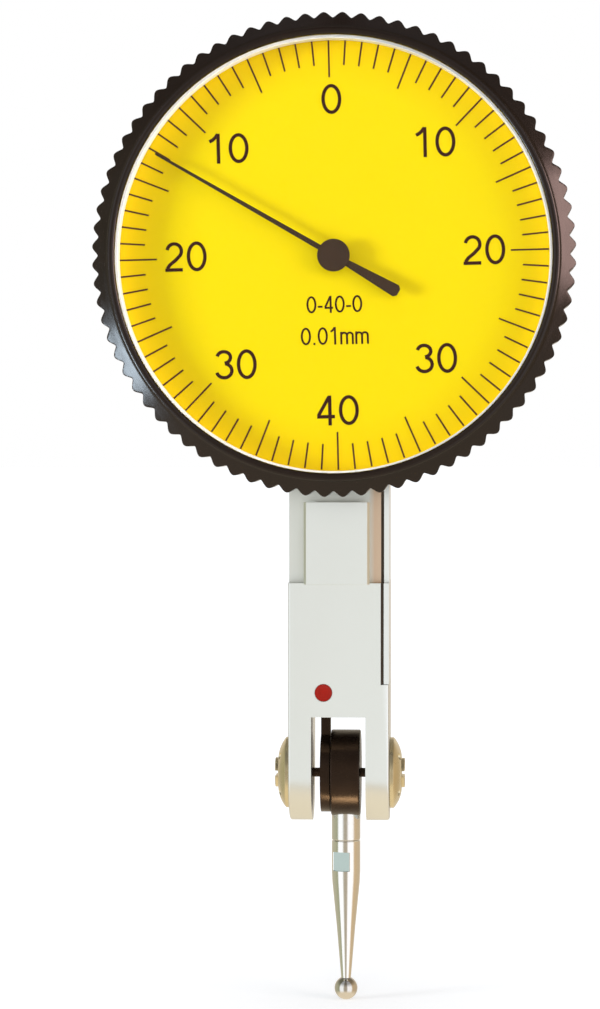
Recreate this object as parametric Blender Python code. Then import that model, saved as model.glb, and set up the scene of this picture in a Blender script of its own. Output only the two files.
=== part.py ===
"""Lever dial test indicator, in metres: +X right, the dial faces -Y, +Z up.

The origin is the centre of the front dovetail's face. The casting carries everything; the lever swings
in its fork, a sector, a crown wheel and a pinion carry that swing to the pointer, and the bezel turns
with the dial round the case.
"""

import math

import bmesh
import bpy
from mathutils import Vector

# Clearances: between fixed pieces, between running pieces, and how far cutters run past a face
SEAT_GAP = 0.00003
RUN_GAP = 0.00006
BEZEL_GAP = 0.00015
OVERRUN = 0.0006

# Casting: its width and depth follow the movement inside it
BODY_ABOVE_DIAL = 0.0120
BODY_EDGE = 0.0002
PIVOT_DROP = 0.0200
FORK_ARM_LEFT = 0.00196
FORK_ARM_RIGHT = 0.00201
FORK_ABOVE = 0.0051
FORK_BRIDGE = 0.0028

# Dovetails: the pads stand a little proud of the casting, in recesses across its whole width
PAD_PROUD = 0.00035
PAD_WIDTH = 0.0056
PAD_LENGTH = 0.0069
PAD_NECK = 0.0036
PAD_DEPTH = 0.00175
PAD_EDGE = 0.0002
RECESS_ABOVE = 0.00155

# Inside of the casting
LEFT_WALL = 0.00125
BODY_WALL = 0.0008
PAD_WALL = 0.0007
CAVITY_ABOVE_FORK = 0.0039
CAVITY_ABOVE_RECESS = 0.0025
CAVITY_ABOVE_DIAL = 0.0045
CROWN_BACK_ROOM = 0.00165
CROWN_SIDE_ROOM = 0.0001
SECTOR_SIDE_ROOM = 0.0008
COVER_ROOM = 0.00085
LEVER_SLOT_HALF = 0.0015
LEVER_SLOT_GAP = 0.0003

# Side cover
COVER_THICKNESS = 0.00045
COVER_INSET = 0.0001
GASKET_THICKNESS = 0.00019
COVER_SCREW_HEAD = 0.0008
COVER_SCREW_SHANK = 0.00045
COVER_SCREW_LENGTH = 0.0022
COVER_SCREW_SLOT = 0.0002
COVER_SCREW_EDGE = 0.00115
COVER_SCREW_ABOVE_FLOOR = 0.0015
COVER_SCREW_ABOVE_DIAL = 0.0070
COVER_SCREW_TOP_EDGE = 0.00185

# Dial side, stacked forward from the casting
DIAL_HEIGHT = 0.0240
BOSS_RADIUS = 0.0100
BOSS_THICKNESS = 0.0009
BOSS_SINK = 0.00005
ARBOR_HOLE = 0.0011
CASE_RADIUS = 0.0187
CASE_WALL = 0.0011
CASE_FLOOR = 0.0010
CASE_HEIGHT = 0.0043
CASE_CHAMFER = 0.0005
CASE_SCREW_INSET = 0.0025
CASE_SCREW_SHANK = 0.00045
CASE_SCREW_HEAD = 0.0008
CASE_SCREW_HEAD_HEIGHT = 0.0004
CASE_SCREW_REACH = 0.0008
BEZEL_WALL = 0.00065
BEZEL_TOOTH = 0.0005
BEZEL_TEETH = 80
BEZEL_LIP_OVERLAP = 0.0004
BEZEL_LIP = 0.00045
BEZEL_SKIRT = 0.00225
BEZEL_PHASE_DEG = 2.325
GLASS_INSET = 0.0003
CRYSTAL_THICKNESS = 0.0008
DIAL_RING_HEIGHT = 0.0015
DIAL_RING_WIDTH = 0.00055
DIAL_THICKNESS = 0.0004
RETAINING_THICKNESS = 0.0002
RETAINING_WIDTH = 0.0009
SNAP_WIRE_RADIUS = 0.00022
SNAP_BACK = 0.0027
SNAP_CASE_BITE = 0.00014
SNAP_OPENING_DEG = 24

# Pointer
POINTER_TIP_GAP = 0.0008
POINTER_TAIL = 0.0062
POINTER_TIP_WIDTH = 0.00025
POINTER_ROOT_WIDTH = 0.00048
TAIL_ROOT_WIDTH = 0.00054
TAIL_END_WIDTH = 0.00106
TAIL_CHAMFER = 0.00025
POINTER_EYE = 0.0011
POINTER_THICKNESS = 0.00015
POINTER_REST_DEG = 60.2
POINTER_HUB = 0.00135
POINTER_HUB_NECK = 0.0006
POINTER_HUB_DISC = 0.00017
POINTER_HUB_HEIGHT = 0.00115
DIAL_HUB_GAP = 0.0001

# Swinging lever and stylus
LEVER_ARM_GAP = 0.00071
LEVER_THICKNESS = 0.00082
LEVER_DISC = 0.0034
LEVER_ARM_HALF = 0.0007
LEVER_ARBOR = 0.0004
HUB_RADIUS = 0.0037
HUB_ARM_GAP = 0.00052
NECK_RADIUS = 0.00125
NECK_REACH = 0.0058
STYLUS_PARALLEL = 0.0028
BALL_REACH = 0.0187
BALL_RADIUS = 0.0010
STYLUS_WAIST_RADIUS = 0.00116
STYLUS_WAIST_REACH = 0.0095
STYLUS_MIDDLE_RADIUS = 0.00076
STYLUS_MIDDLE_REACH = 0.01335
STYLUS_END_RADIUS = 0.0004
FLAT_DISTANCE = 0.00097
FLAT_LENGTH = 0.00158
FLAT_BELOW_JOINT = 0.00105
FLAT_TURN_DEG = -23
WASHER_RADIUS = 0.0020
WASHER_BORE = 0.0009
WASHER_THICKNESS = 0.00012
WASHER_DISH = 0.0001
WASHER_RECESS = 0.00036

# Pivot screws and their domed lock rings
PIVOT_SCREW = 0.00128
PIVOT_SCREW_PROUD = 0.0013
PIVOT_SCREW_INSIDE = 0.00006
PIVOT_CUP_DEPTH = 0.0006
PIVOT_ARBOR_ENTRY = 0.0005
PIVOT_SLOT_WIDTH = 0.00048
PIVOT_SLOT_DEPTH = 0.00043
LOCK_RING = 0.00305
LOCK_RING_HEIGHT = 0.0010
LOCK_RING_RIM = 0.0003
SPANNER_WIDTH = 0.0005
SPANNER_DEPTH = 0.0004

# Red plug
PLUG_RADIUS = 0.00073
PLUG_DEPTH = 0.0010
PLUG_X = -0.00113
PLUG_ABOVE_FORK = 0.0021

# Gear train: one turn of the pointer is 0.8 mm at the ball
TRAVEL_PER_TURN = 0.0008
PINION_LEAVES = 12
CROWN_TEETH = 60
CROWN_PINION_LEAVES = 12
SECTOR_TEETH_WHOLE = 128
SECTOR_TEETH = 9
CENTRE_PITCH = 0.0006
GEAR_ADDENDUM = 0.0001
GEAR_DEDENDUM = 0.00014
LEAF_LENGTH = 0.0010
CENTRE_ARBOR = 0.00025
CENTRE_PIVOT = 0.00012
CROWN_OUTER = 0.0032
CROWN_INNER = 0.00275
CROWN_TIP_ENTRY = 0.00005
CROWN_TOOTH = 0.00025
CROWN_WEB = 0.0003
CROWN_RIM = 0.00045
CROWN_HUB = 0.0006
CROWN_HUB_LENGTH = 0.00065
CROWN_PITCH = 0.00075
SECTOR_PITCH = 0.0080
SECTOR_LEFT = 0.0008
SECTOR_THICKNESS = 0.0005
SECTOR_HUB = 0.0010
SECTOR_RIM = 0.0007
SECTOR_WAIST_HALF = 0.0005
SECTOR_END_HALF = 0.00063
SECTOR_ARBOR = 0.0003
DRIVE_PIN = 0.00025
PIN_SIDE_GAP = 0.00003
PIN_SLOT_BEFORE = 0.0006
PIN_SLOT_AFTER = 0.0004
PIN_END_MARGIN = 0.0005
PIN_SEAT_DEPTH = 0.0006

# Jewels, movement plate, pillars and centre cock
JEWEL_RADIUS = 0.0006
JEWEL_THICKNESS = 0.0005
PLATE_THICKNESS = 0.0008
PLATE_BELOW_SECTOR = 0.00325
PLATE_MARGIN = 0.0002
PLATE_TOP_MARGIN = 0.0006
PILLAR_RADIUS = 0.0005
PILLAR_SPIGOT = 0.0003
PILLAR_SPIGOT_LENGTH = 0.0006
PILLAR_INSET = 0.00075
PILLAR_LIFT = 0.0010
PLATE_SCREW_HEAD = 0.00045
PLATE_SCREW_HEAD_HEIGHT = 0.0003
PLATE_SCREW_SHANK = 0.0002
PLATE_SCREW_REACH = 0.0010
COCK_FRONT_GAP = 0.0004
COCK_THICKNESS = 0.0008
COCK_LEFT = -0.00045
COCK_BELOW = 0.00055
COCK_ABOVE = 0.0038
COCK_JEWEL = 0.0003
COCK_SCREW_LIFT = 0.0032

# Hairspring
SPRING_INNER = 0.00078
SPRING_OUTER = 0.0042
SPRING_TURNS = 4
SPRING_STRIP = 0.00008
SPRING_HEIGHT = 0.0003
SPRING_FLOOR_GAP = 0.0014
COLLET_RADIUS = 0.0007
COLLET_HEIGHT = 0.0005
STUD_RADIUS = 0.00035

# Worked out from the sizes above: the movement across the casting
CROWN_TIP = -CENTRE_PITCH + CROWN_TIP_ENTRY
CROWN_ROOT = CROWN_TIP - CROWN_TOOTH
CROWN_RIM_BACK = CROWN_ROOT - CROWN_RIM
CAVITY_LEFT = CROWN_RIM_BACK - CROWN_BACK_ROOM
BODY_LEFT = CAVITY_LEFT - LEFT_WALL
PLATE_LEFT = SECTOR_LEFT + SECTOR_THICKNESS + SECTOR_SIDE_ROOM
PLATE_RIGHT = PLATE_LEFT + PLATE_THICKNESS
REBATE_X = PLATE_RIGHT + COVER_ROOM
GASKET_LEFT = REBATE_X + SEAT_GAP
COVER_LEFT = GASKET_LEFT + GASKET_THICKNESS + SEAT_GAP
BODY_RIGHT = COVER_LEFT + COVER_THICKNESS
FORK_LEFT = BODY_LEFT + FORK_ARM_LEFT
FORK_RIGHT = BODY_RIGHT - FORK_ARM_RIGHT
LEVER_LEFT = FORK_LEFT + LEVER_ARM_GAP
LEVER_RIGHT = LEVER_LEFT + LEVER_THICKNESS
HUB_LEFT = LEVER_RIGHT + RUN_GAP
HUB_RIGHT = FORK_RIGHT - HUB_ARM_GAP
STYLUS_X = (HUB_LEFT + HUB_RIGHT) / 2

# From front to back
BODY_FRONT = PAD_PROUD
CAVITY_FRONT = BODY_FRONT + BODY_WALL
AXIS_Y = CAVITY_FRONT + CROWN_SIDE_ROOM + CROWN_OUTER
CAVITY_BACK = AXIS_Y + CROWN_OUTER + CROWN_SIDE_ROOM
BODY_BACK = CAVITY_BACK + BODY_WALL
BODY_DEPTH = BODY_BACK - BODY_FRONT
REAR_FACE = BODY_BACK + PAD_PROUD
REAR_FLOOR = REAR_FACE - PAD_DEPTH
LOWER_FRONT = PAD_DEPTH + PAD_WALL
LOWER_BACK = REAR_FLOOR - PAD_WALL
COVER_FRONT = BODY_FRONT + COVER_INSET
COVER_BACK = BODY_BACK - COVER_INSET
BOSS_FRONT = BODY_FRONT - BOSS_THICKNESS
CASE_BACK = BOSS_FRONT - SEAT_GAP
CASE_INSIDE = CASE_BACK - CASE_FLOOR
CASE_RIM = CASE_BACK - CASE_HEIGHT
SNAP_Y = CASE_BACK - SNAP_BACK
RING_BACK = CASE_RIM - RUN_GAP
DIAL_BACK = RING_BACK - RETAINING_THICKNESS - SEAT_GAP
DIAL_FACE = DIAL_BACK - DIAL_THICKNESS
DIAL_RING_FRONT = DIAL_FACE - SEAT_GAP - DIAL_RING_HEIGHT
CRYSTAL_BACK = DIAL_RING_FRONT - SEAT_GAP
CRYSTAL_FRONT = CRYSTAL_BACK - CRYSTAL_THICKNESS
LIP_BACK = CRYSTAL_FRONT - SEAT_GAP
BEZEL_FRONT = LIP_BACK - BEZEL_LIP
BEZEL_BACK = CASE_RIM + BEZEL_SKIRT
HUB_BACK = DIAL_FACE - DIAL_HUB_GAP
HUB_FRONT = HUB_BACK - POINTER_HUB_HEIGHT
POINTER_FRONT = HUB_FRONT + POINTER_HUB_DISC + SEAT_GAP
LEAF_FRONT = AXIS_Y - (CROWN_OUTER + CROWN_INNER) / 2 - LEAF_LENGTH / 2
LEAF_BACK = LEAF_FRONT + LEAF_LENGTH
COCK_FRONT = LEAF_BACK + COCK_FRONT_GAP
COCK_BACK = COCK_FRONT + COCK_THICKNESS
SPRING_Y = CASE_INSIDE - SPRING_FLOOR_GAP

# From the ball up
PIVOT_Z = -PIVOT_DROP
JOINT_Z = PIVOT_Z - NECK_REACH
BALL_Z = PIVOT_Z - BALL_REACH
FORK_TOP = PIVOT_Z + FORK_ABOVE
REBATE_BOTTOM = FORK_TOP + FORK_BRIDGE
CAVITY_FLOOR = FORK_TOP + CAVITY_ABOVE_FORK
PLUG_Z = FORK_TOP + PLUG_ABOVE_FORK
COVER_SCREW_LOW = CAVITY_FLOOR + COVER_SCREW_ABOVE_FLOOR
PAD_TOP = PAD_LENGTH / 2
PAD_BOTTOM = -PAD_LENGTH / 2
RECESS_TOP = PAD_TOP + RECESS_ABOVE
SECTOR_Z = DIAL_HEIGHT - CROWN_PITCH - SECTOR_PITCH
PLATE_BOTTOM = SECTOR_Z - PLATE_BELOW_SECTOR
CAVITY_STEP = RECESS_TOP + CAVITY_ABOVE_RECESS
CAVITY_TOP = DIAL_HEIGHT + CAVITY_ABOVE_DIAL
PLATE_TOP = CAVITY_TOP - PLATE_TOP_MARGIN
COVER_SCREW_HIGH = DIAL_HEIGHT + COVER_SCREW_ABOVE_DIAL
BODY_TOP = DIAL_HEIGHT + BODY_ABOVE_DIAL
TOP_FLOOR = BODY_TOP - PAD_DEPTH

# Round the dial
CASE_SCREW_CIRCLE = BOSS_RADIUS - CASE_SCREW_INSET
BEZEL_BORE = CASE_RADIUS + BEZEL_GAP
BEZEL_VALLEY = BEZEL_BORE + BEZEL_WALL
BEZEL_TIP = BEZEL_VALLEY + BEZEL_TOOTH
SNAP_RADIUS = CASE_RADIUS - SNAP_CASE_BITE + SNAP_WIRE_RADIUS
GLASS_RADIUS = CASE_RADIUS - GLASS_INSET
SEAT_RADIUS = GLASS_RADIUS + SEAT_GAP
BEZEL_LIP_RADIUS = GLASS_RADIUS - BEZEL_LIP_OVERLAP
DIAL_RING_INNER = GLASS_RADIUS - DIAL_RING_WIDTH
RETAINING_INNER = GLASS_RADIUS - RETAINING_WIDTH
POINTER_LENGTH = DIAL_RING_INNER - POINTER_TIP_GAP

# The lever's arm and the sector's arm share the reduction that one turn of the pointer needs
LEVER_TURN = TRAVEL_PER_TURN / BALL_REACH
GEAR_RATIO = (CROWN_TEETH / PINION_LEAVES) * (SECTOR_TEETH_WHOLE / CROWN_PINION_LEAVES)
ARM_RATIO = 2 * math.pi / GEAR_RATIO / LEVER_TURN
SECTOR_ARM = (SECTOR_Z - PIVOT_Z) / (1 + ARM_RATIO)
PIN_Z = SECTOR_Z - SECTOR_ARM

# Counts of sides, and the angles past which an edge stays sharp or is softened
ROUND = 64
HUB_ROUND = 48
SMALL_ROUND = 24
TINY_ROUND = 12
NOTCH_ROUND = 8
BEZEL_SIDES = 80
SEAT_SIDES = BEZEL_SIDES // 2
SHARP_DEG = 30
SOFTEN_DEG = 40

# Shares: the crest and foot of a tooth, each side of its middle, are shares of the pitch
TOOTH_TIP_SHARE = 0.13
TOOTH_ROOT_SHARE = 0.31
KNURL_SHOULDER_SHARE = 0.8
KNURL_SIDE_SHARE = 0.24
LIP_OUTSIDE_SHARE = 0.6
PLUG_CROWN_SHARE = 0.6
EYE_ROOT_SHARE = 0.9
EYE_SIDE_SHARE = 0.8
EYE_UP_SHARE = 0.6
SECTOR_SIDE_SHARE = 0.6
SECTOR_NECK_SHARE = 1.4
SCREW_SLOT_SHARE = 0.4

for item in list(bpy.data.objects):
    bpy.data.objects.remove(item, do_unlink=True)


def finish_material(name, colour, roughness, metallic):
    """A Principled material from an sRGB colour of 0 to 255."""
    made = bpy.data.materials.new(name)
    made.use_nodes = True
    shader = made.node_tree.nodes["Principled BSDF"]
    linear = [(channel / 255) ** 2.2 for channel in colour]
    shader.inputs["Base Color"].default_value = (*linear, 1)
    shader.inputs["Roughness"].default_value = roughness
    shader.inputs["Metallic"].default_value = metallic
    return made


SATIN_CHROME = finish_material("satin_chrome", (224, 227, 222), 0.35, 1)
BRIGHT_STEEL = finish_material("bright_steel", (215, 215, 213), 0.15, 1)
BLACK_ANODISED = finish_material("black_anodised", (42, 33, 28), 0.4, 0.6)
DARK_STEEL = finish_material("dark_steel", (58, 46, 38), 0.35, 0.9)
DIAL_YELLOW = finish_material("dial_yellow", (255, 229, 0), 0.45, 0)
PALE_RING = finish_material("pale_ring", (240, 236, 224), 0.4, 0)
CLEAR_GLASS = finish_material("clear_glass", (250, 250, 250), 0.05, 0)
POINTER_BLACK = finish_material("pointer_black", (70, 52, 38), 0.5, 0)
BRASS = finish_material("brass", (196, 164, 96), 0.3, 1)
PALE_GOLD = finish_material("pale_gold", (190, 172, 128), 0.28, 1)
RUBY = finish_material("ruby", (170, 25, 50), 0.1, 0)
RED_LACQUER = finish_material("red_lacquer", (190, 40, 25), 0.45, 0)
DARK_GASKET = finish_material("dark_gasket", (60, 50, 40), 0.8, 0)


def spot(axis, across, up, along):
    """A point from its place across and up a round piece, and along the piece's axis."""
    if axis == "X":
        return Vector((along, across, up))
    if axis == "Y":
        return Vector((across, along, up))
    return Vector((across, up, along))


def ring_row(radius, along, sides, phase=0):
    """A circle of points, or one point where the radius is nothing."""
    if radius == 0:
        return [(0, 0, along)]
    turns = [phase + 2 * math.pi * side / sides for side in range(sides)]
    return [(radius * math.cos(turn), radius * math.sin(turn), along) for turn in turns]


def outline_row(outline, along):
    return [(across, up, along) for across, up in outline]


def band(bm, one, two):
    """Faces between two rows, where one has a whole number of points for each of the other's."""
    if len(one) < len(two):
        one, two = two, one
    share = len(one) // len(two)
    for index in range(len(one)):
        after = (index + 1) % len(one)
        near = two[index // share]
        far = two[(after // share) % len(two)]
        if near is far:
            bm.faces.new((one[index], one[after], near))
        else:
            bm.faces.new((one[index], one[after], far, near))


def from_bmesh(name, bm, material, location):
    bmesh.ops.recalc_face_normals(bm, faces=bm.faces)
    mesh = bpy.data.meshes.new(name)
    bm.to_mesh(mesh)
    bm.free()
    mesh.shade_smooth()
    mesh.set_sharp_from_angle(angle=math.radians(SHARP_DEG))
    made = bpy.data.objects.new(name, mesh)
    made.location = location
    if material is not None:
        mesh.materials.append(material)
    bpy.context.scene.collection.objects.link(made)
    return made


def skin(name, axis, location, rows, material, ring=False):
    """A closed solid through rows of points. A ring closes on its first row, and others on their ends."""
    bm = bmesh.new()
    made = [[bm.verts.new(spot(axis, *point)) for point in row] for row in rows]
    for one, two in zip(made, made[1:]):
        band(bm, one, two)
    if ring:
        band(bm, made[-1], made[0])
    else:
        for end in (made[0], made[-1]):
            if len(end) > 2:
                bm.faces.new(end)
    return from_bmesh(name, bm, material, location)


def turned(name, axis, location, profile, sides, material, ring=False, phase=0):
    """A turned piece from (radius, place along the axis) points."""
    rows = [ring_row(radius, along, sides, phase) for radius, along in profile]
    return skin(name, axis, location, rows, material, ring)


def prism(name, axis, location, outline, low, high, material):
    rows = [outline_row(outline, low), outline_row(outline, high)]
    return skin(name, axis, location, rows, material)


def block(name, low, high, material):
    outline = [(low[0], low[1]), (high[0], low[1]), (high[0], high[1]), (low[0], high[1])]
    return prism(name, "Z", (0, 0, 0), outline, low[2], high[2], material)


def arc(centre, radius, start_deg, end_deg, steps):
    """Points of an arc, both ends among them."""
    turns = [math.radians(start_deg + (end_deg - start_deg) * step / steps) for step in range(steps + 1)]
    return [(centre[0] + radius * math.cos(turn), centre[1] + radius * math.sin(turn)) for turn in turns]


def tooth_points(tip, root):
    """The four corners of one straight sided tooth, as height and place beside its middle in pitches."""
    rise = [(root, -TOOTH_ROOT_SHARE), (tip, -TOOTH_TIP_SHARE)]
    return [*rise, *((height, -place) for height, place in reversed(rise))]


def toothed(count, tip, root, phase, teeth=None):
    """The outline of a wheel of count teeth, or of some of them, with the first tooth at phase."""
    pitch = 2 * math.pi / count
    points = []
    for tooth in range(teeth or count):
        for radius, place in tooth_points(tip, root):
            turn = phase + pitch * (tooth + place)
            points.append((radius * math.cos(turn), radius * math.sin(turn)))
    return points


def boolean(target, tool, operation):
    """Cuts or joins another solid, which is then a hidden helper."""
    tool.hide_render = True
    tool.display_type = "WIRE"
    modifier = target.modifiers.new(tool.name, "BOOLEAN")
    modifier.operation = operation
    modifier.object = tool


def cut(target, tool):
    boolean(target, tool, "DIFFERENCE")


def join(target, tool):
    boolean(target, tool, "UNION")


def drill(target, axis, location, radius, low, high, sides=SMALL_ROUND):
    """A round hole along an axis, from low to high beside its location."""
    name = f"{target.name}_hole_{len(target.modifiers)}"
    turn = math.pi / sides / 3
    cut(target, turned(name, axis, location, [(radius, low), (radius, high)], sides, None, phase=turn))


def soften(target, width, segments=2):
    modifier = target.modifiers.new("edges", "BEVEL")
    modifier.width = width
    modifier.segments = segments
    modifier.limit_method = "ANGLE"
    modifier.angle_limit = math.radians(SOFTEN_DEG)


def axle(name, location):
    made = bpy.data.objects.new(name, None)
    made.location = location
    bpy.context.scene.collection.objects.link(made)
    return made


BEZEL_AXLE = axle("bezel_axle", (0, 0, DIAL_HEIGHT))
POINTER_AXLE = axle("pointer_axle", (0, 0, DIAL_HEIGHT))
CROWN_AXLE = axle("crown_axle", (0, AXIS_Y, DIAL_HEIGHT))
SECTOR_AXLE = axle("sector_axle", (0, AXIS_Y, SECTOR_Z))
LEVER_AXLE = axle("lever_axle", (0, AXIS_Y, PIVOT_Z))
STYLUS_AXLE = axle("stylus_axle", (0, AXIS_Y, PIVOT_Z))


def carry(made, carrier):
    """Hangs a piece on its joint's empty, where it already lies."""
    made.parent = carrier
    made.location = made.location - carrier.location


# Casting


def dovetail_outline(face, floor):
    """Section across a dovetail: wide at the face, narrow at the recess floor, with eased face edges."""
    inward = 1 if floor > face else -1
    shoulder = face + inward * PAD_EDGE
    root = floor + inward * OVERRUN / 2
    right = [
        (PAD_WIDTH / 2 - PAD_EDGE, face),
        (PAD_WIDTH / 2, shoulder),
        (PAD_NECK / 2, floor),
        (PAD_NECK / 2, root),
    ]
    return [*right, *((-across, depth) for across, depth in reversed(right))]


def body_frame():
    """One casting: a flat bar rounded at the fork, cut for the movement, with its pads and dial boss."""
    fork = arc((AXIS_Y, PIVOT_Z), BODY_DEPTH / 2, 180, 360, SMALL_ROUND)
    outline = [*fork, (BODY_BACK, TOP_FLOOR), (BODY_FRONT, TOP_FLOOR)]
    made = prism("body_frame", "X", (0, 0, 0), outline, BODY_LEFT, BODY_RIGHT, SATIN_CHROME)
    soften(made, BODY_EDGE)
    far = BODY_TOP + OVERRUN
    right = BODY_RIGHT + OVERRUN
    low_front = (REBATE_X, BODY_FRONT - OVERRUN, REBATE_BOTTOM)
    cut(made, block("rebate_cutter", low_front, (right, BODY_BACK + OVERRUN, far), None))
    left = BODY_LEFT - OVERRUN
    front = (left, BODY_FRONT - OVERRUN, PAD_BOTTOM)
    cut(made, block("front_recess_cutter", front, (right, PAD_DEPTH, RECESS_TOP), None))
    rear = (left, REAR_FLOOR, PAD_BOTTOM)
    cut(made, block("rear_recess_cutter", rear, (right, REAR_FACE + OVERRUN, RECESS_TOP), None))
    front_pad = dovetail_outline(0, PAD_DEPTH)
    join(made, prism("front_pad", "Z", (0, 0, 0), front_pad, PAD_BOTTOM - PAD_EDGE / 2, PAD_TOP, None))
    rear_pad = dovetail_outline(REAR_FACE, REAR_FLOOR)
    join(made, prism("rear_pad", "Z", (0, 0, 0), rear_pad, PAD_BOTTOM - PAD_EDGE / 2, PAD_TOP, None))
    top_pad = dovetail_outline(BODY_TOP, TOP_FLOOR)
    top_ends = (BODY_FRONT + BODY_EDGE, BODY_BACK - BODY_EDGE)
    join(made, prism("top_pad", "Y", (0, 0, 0), top_pad, *top_ends, None))
    boss = [(BOSS_RADIUS, BOSS_FRONT), (BOSS_RADIUS, BODY_FRONT + BOSS_SINK)]
    join(made, turned("dial_boss", "Y", (0, 0, DIAL_HEIGHT), boss, ROUND, None))
    return made


ROOM_OUTLINE = [
    (LOWER_FRONT, CAVITY_FLOOR),
    (LOWER_BACK, CAVITY_FLOOR),
    (LOWER_BACK, CAVITY_STEP),
    (CAVITY_BACK, CAVITY_STEP),
    (CAVITY_BACK, CAVITY_TOP),
    (CAVITY_FRONT, CAVITY_TOP),
    (CAVITY_FRONT, CAVITY_STEP),
    (LOWER_FRONT, CAVITY_STEP),
]


def hollow_body(made):
    """The room for the movement, open on the right under the cover, and the lever's way down to the fork."""
    ends = (CAVITY_LEFT, BODY_RIGHT + OVERRUN)
    cut(made, prism("cavity_cutter", "X", (0, 0, 0), ROOM_OUTLINE, *ends, None))
    fork_low = (FORK_LEFT, BODY_FRONT - OVERRUN, PIVOT_Z - BODY_DEPTH)
    cut(made, block("fork_cutter", fork_low, (FORK_RIGHT, BODY_BACK + OVERRUN, FORK_TOP), None))
    slot_low = (LEVER_LEFT - LEVER_SLOT_GAP, AXIS_Y - LEVER_SLOT_HALF, FORK_TOP - OVERRUN)
    slot_high = (LEVER_RIGHT + LEVER_SLOT_GAP, AXIS_Y + LEVER_SLOT_HALF, CAVITY_FLOOR + OVERRUN)
    cut(made, block("lever_slot_cutter", slot_low, slot_high, None))


COVER_SCREWS = [
    (BODY_FRONT + COVER_SCREW_EDGE, COVER_SCREW_LOW),
    (BODY_BACK - COVER_SCREW_EDGE, COVER_SCREW_LOW),
    (BODY_FRONT + COVER_SCREW_TOP_EDGE, COVER_SCREW_HIGH),
    (BODY_BACK - COVER_SCREW_TOP_EDGE, COVER_SCREW_HIGH),
]
CASE_SCREWS = [
    (CASE_SCREW_CIRCLE * math.cos(turn), DIAL_HEIGHT + CASE_SCREW_CIRCLE * math.sin(turn))
    for turn in (math.radians(degrees) for degrees in (90, 210, 330))
]
PILLARS = [
    (CAVITY_FRONT + PILLAR_INSET, PLATE_BOTTOM + PILLAR_LIFT),
    (CAVITY_BACK - PILLAR_INSET, PLATE_BOTTOM + PILLAR_LIFT),
    (CAVITY_BACK - PILLAR_INSET, PLATE_TOP - PILLAR_INSET),
]
LEFT_JEWELS = {"crown": DIAL_HEIGHT, "sector": SECTOR_Z}
SCREW_TIP = BODY_RIGHT - COVER_SCREW_LENGTH
CASE_SCREW_TIP = CASE_BACK + CASE_SCREW_REACH


def drill_body(made):
    """Every hole that another piece sits in or passes through."""
    pivot = (0, AXIS_Y, PIVOT_Z)
    drill(made, "X", pivot, PIVOT_SCREW + SEAT_GAP, BODY_LEFT - OVERRUN, BODY_RIGHT + OVERRUN)
    plug = (PLUG_X, 0, PLUG_Z)
    drill(made, "Y", plug, PLUG_RADIUS + SEAT_GAP, BODY_FRONT - OVERRUN, BODY_FRONT + PLUG_DEPTH + SEAT_GAP)
    dial = (0, 0, DIAL_HEIGHT)
    drill(made, "Y", dial, ARBOR_HOLE, BOSS_FRONT - OVERRUN, CAVITY_FRONT + OVERRUN)
    for across, up in COVER_SCREWS:
        shank = COVER_SCREW_SHANK + SEAT_GAP
        drill(made, "X", (0, across, up), shank, SCREW_TIP - SEAT_GAP, BODY_RIGHT + OVERRUN, TINY_ROUND)
    for across, up in CASE_SCREWS:
        shank = CASE_SCREW_SHANK + SEAT_GAP
        reach = CASE_SCREW_TIP + SEAT_GAP
        drill(made, "Y", (across, 0, up), shank, BOSS_FRONT - OVERRUN, reach, TINY_ROUND)
    for across, up in PILLARS:
        spigot = PILLAR_SPIGOT + SEAT_GAP
        depth = CAVITY_LEFT - PILLAR_SPIGOT_LENGTH - SEAT_GAP
        drill(made, "X", (0, across, up), spigot, depth, CAVITY_LEFT + OVERRUN, TINY_ROUND)
    for up in LEFT_JEWELS.values():
        seat = JEWEL_RADIUS + SEAT_GAP
        depth = CAVITY_LEFT - JEWEL_THICKNESS - RUN_GAP
        drill(made, "X", (0, AXIS_Y, up), seat, depth, CAVITY_LEFT + OVERRUN)


FRAME = body_frame()
hollow_body(FRAME)
drill_body(FRAME)


def seal_plug():
    """The red plug, pressed into its hole, with a slightly crowned face."""
    crown = BODY_FRONT - SEAT_GAP
    profile = [
        (0, crown - SEAT_GAP),
        (PLUG_RADIUS * PLUG_CROWN_SHARE, crown - SEAT_GAP / 2),
        (PLUG_RADIUS, crown + SEAT_GAP),
        (PLUG_RADIUS, BODY_FRONT + PLUG_DEPTH),
        (0, BODY_FRONT + PLUG_DEPTH),
    ]
    turned("seal_plug", "Y", (PLUG_X, 0, PLUG_Z), profile, SMALL_ROUND, RED_LACQUER)


seal_plug()

# Side cover with its joint and screws


def cover_outline(inset, gap):
    """The cover seen from the side, notched where the dovetail recesses cross it."""
    front = COVER_FRONT + inset
    back = COVER_BACK - inset
    low = REBATE_BOTTOM + gap
    high = TOP_FLOOR - inset
    notch_low = PAD_BOTTOM - inset
    notch_high = RECESS_TOP + inset
    notch_front = PAD_DEPTH + inset
    notch_back = REAR_FLOOR - inset
    return [
        (front, low),
        (back, low),
        (back, notch_low),
        (notch_back, notch_low),
        (notch_back, notch_high),
        (back, notch_high),
        (back, high),
        (front, high),
        (front, notch_high),
        (notch_front, notch_high),
        (notch_front, notch_low),
        (front, notch_low),
    ]


def countersink(target, across, up):
    """A tapered seat for a flush head."""
    sink = COVER_SCREW_HEAD + SEAT_GAP
    shank = COVER_SCREW_SHANK + SEAT_GAP
    profile = [
        (shank, COVER_LEFT - OVERRUN),
        (shank, COVER_LEFT + SEAT_GAP),
        (sink, BODY_RIGHT),
        (sink, BODY_RIGHT + OVERRUN),
    ]
    name = f"countersink_{len(target.modifiers)}"
    cut(target, turned(name, "X", (0, across, up), profile, SMALL_ROUND, None))


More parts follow.
